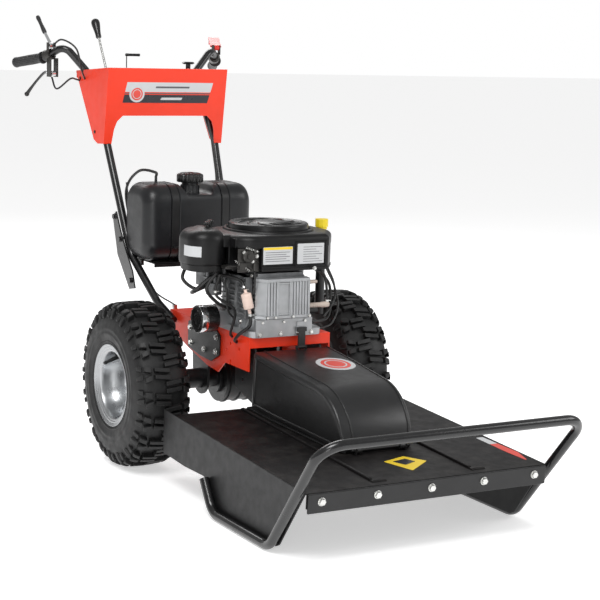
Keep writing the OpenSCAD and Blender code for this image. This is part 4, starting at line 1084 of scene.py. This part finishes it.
ribbed(14, 3.0, [(812, 38, 0), (812, 41.6, 1), (814, 43, 1), (832, 43, 1), (836, 42, 1), (839, 38, 1),
                    (841, 33, 0.4), (842, 28, 0), (840.4, 24, 0), (840.4, 12, 0), (843, 9, 0), (844.4, 4, 0),
                    (844.4, 1, 0)], NECK, cap, 168)
piece("tank_cap_top", cap, knob_plastic, "tank_cap", replaces=("fuel_cap",), angle=40)

# ---- Setting ----

def backdrop():
    mat = bpy.data.materials.new("studio_floor")
    mat.use_nodes = True
    bsdf = mat.node_tree.nodes["Principled BSDF"]
    bsdf.inputs["Base Color"].default_value = (0.90, 0.90, 0.90, 1)
    bsdf.inputs["Roughness"].default_value = 0.7
    bsdf.inputs["Emission Color"].default_value = (1, 1, 1, 1)
    bsdf.inputs["Emission Strength"].default_value = 0.52
    mesh = bpy.data.meshes.new("studio_floor")
    s = 40
    mesh.from_pydata([(-s, -s, -0.0006), (s, -s, -0.0006), (s, s, -0.0006), (-s, s, -0.0006)], [], [(0, 1, 2, 3)])
    mesh.materials.append(mat)
    floor = bpy.data.objects.new("studio_floor", mesh)
    bpy.context.scene.collection.objects.link(floor)


def area_light(name, at, to, size, power):
    light = bpy.data.lights.new(name, "AREA")
    light.energy = power
    light.shape = "RECTANGLE"
    light.size, light.size_y = size
    obj = bpy.data.objects.new(name, light)
    obj.location = at
    obj.rotation_euler = (Vector(to) - Vector(at)).to_track_quat("-Z", "Y").to_euler()
    bpy.context.scene.collection.objects.link(obj)


def camera():
    data = bpy.data.cameras.new("camera")
    data.sensor_width = 36
    data.lens = 100.9
    data.shift_y = -0.0108
    data.clip_end = 200
    az, el, roll = math.radians(-29.63), math.radians(8.89), math.radians(1.68)
    back = Vector((math.sin(az) * math.cos(el), -math.cos(az) * math.cos(el), math.sin(el)))
    right = (-back).cross(Vector((0, 0, 1))).normalized()
    up = right.cross(-back)
    x = right * math.cos(roll) + up * math.sin(roll)
    y = up * math.cos(roll) - right * math.sin(roll)
    obj = bpy.data.objects.new("camera", data)
    obj.matrix_world = frame_at((-2.358481, -4.527987, 1.304664), x, y, back)
    bpy.context.scene.collection.objects.link(obj)
    bpy.context.scene.camera = obj


backdrop()
camera()
area_light("key", (-2.4, -2.6, 4.4), (0, -0.3, 0.4), (2.2, 2.2), 150)
area_light("fill", (3.8, -3.0, 2.8), (0, -0.2, 0.5), (2.4, 2.0), 60)
area_light("rear", (0.6, 3.8, 3.6), (0, 0.2, 0.6), (3.4, 2.0), 90)
area_light("front", (-3.4, -5.0, 1.2), (0, -0.6, 0.4), (1.2, 2.2), 30)
world = bpy.data.worlds.new("studio")
world.use_nodes = True
nodes, links = world.node_tree.nodes, world.node_tree.links
ambient = nodes["Background"]
ambient.inputs["Color"].default_value = (1, 1, 1, 1)
ambient.inputs["Strength"].default_value = 0.42
white = nodes.new("ShaderNodeBackground")
white.inputs["Color"].default_value = (1, 1, 1, 1)
path, pick = nodes.new("ShaderNodeLightPath"), nodes.new("ShaderNodeMixShader")
links.new(path.outputs["Is Camera Ray"], pick.inputs[0])
links.new(ambient.outputs[0], pick.inputs[1])
links.new(white.outputs[0], pick.inputs[2])
links.new(pick.outputs[0], nodes["World Output"].inputs["Surface"])
bpy.context.scene.world = world
bpy.context.scene.view_settings.view_transform = "Standard"
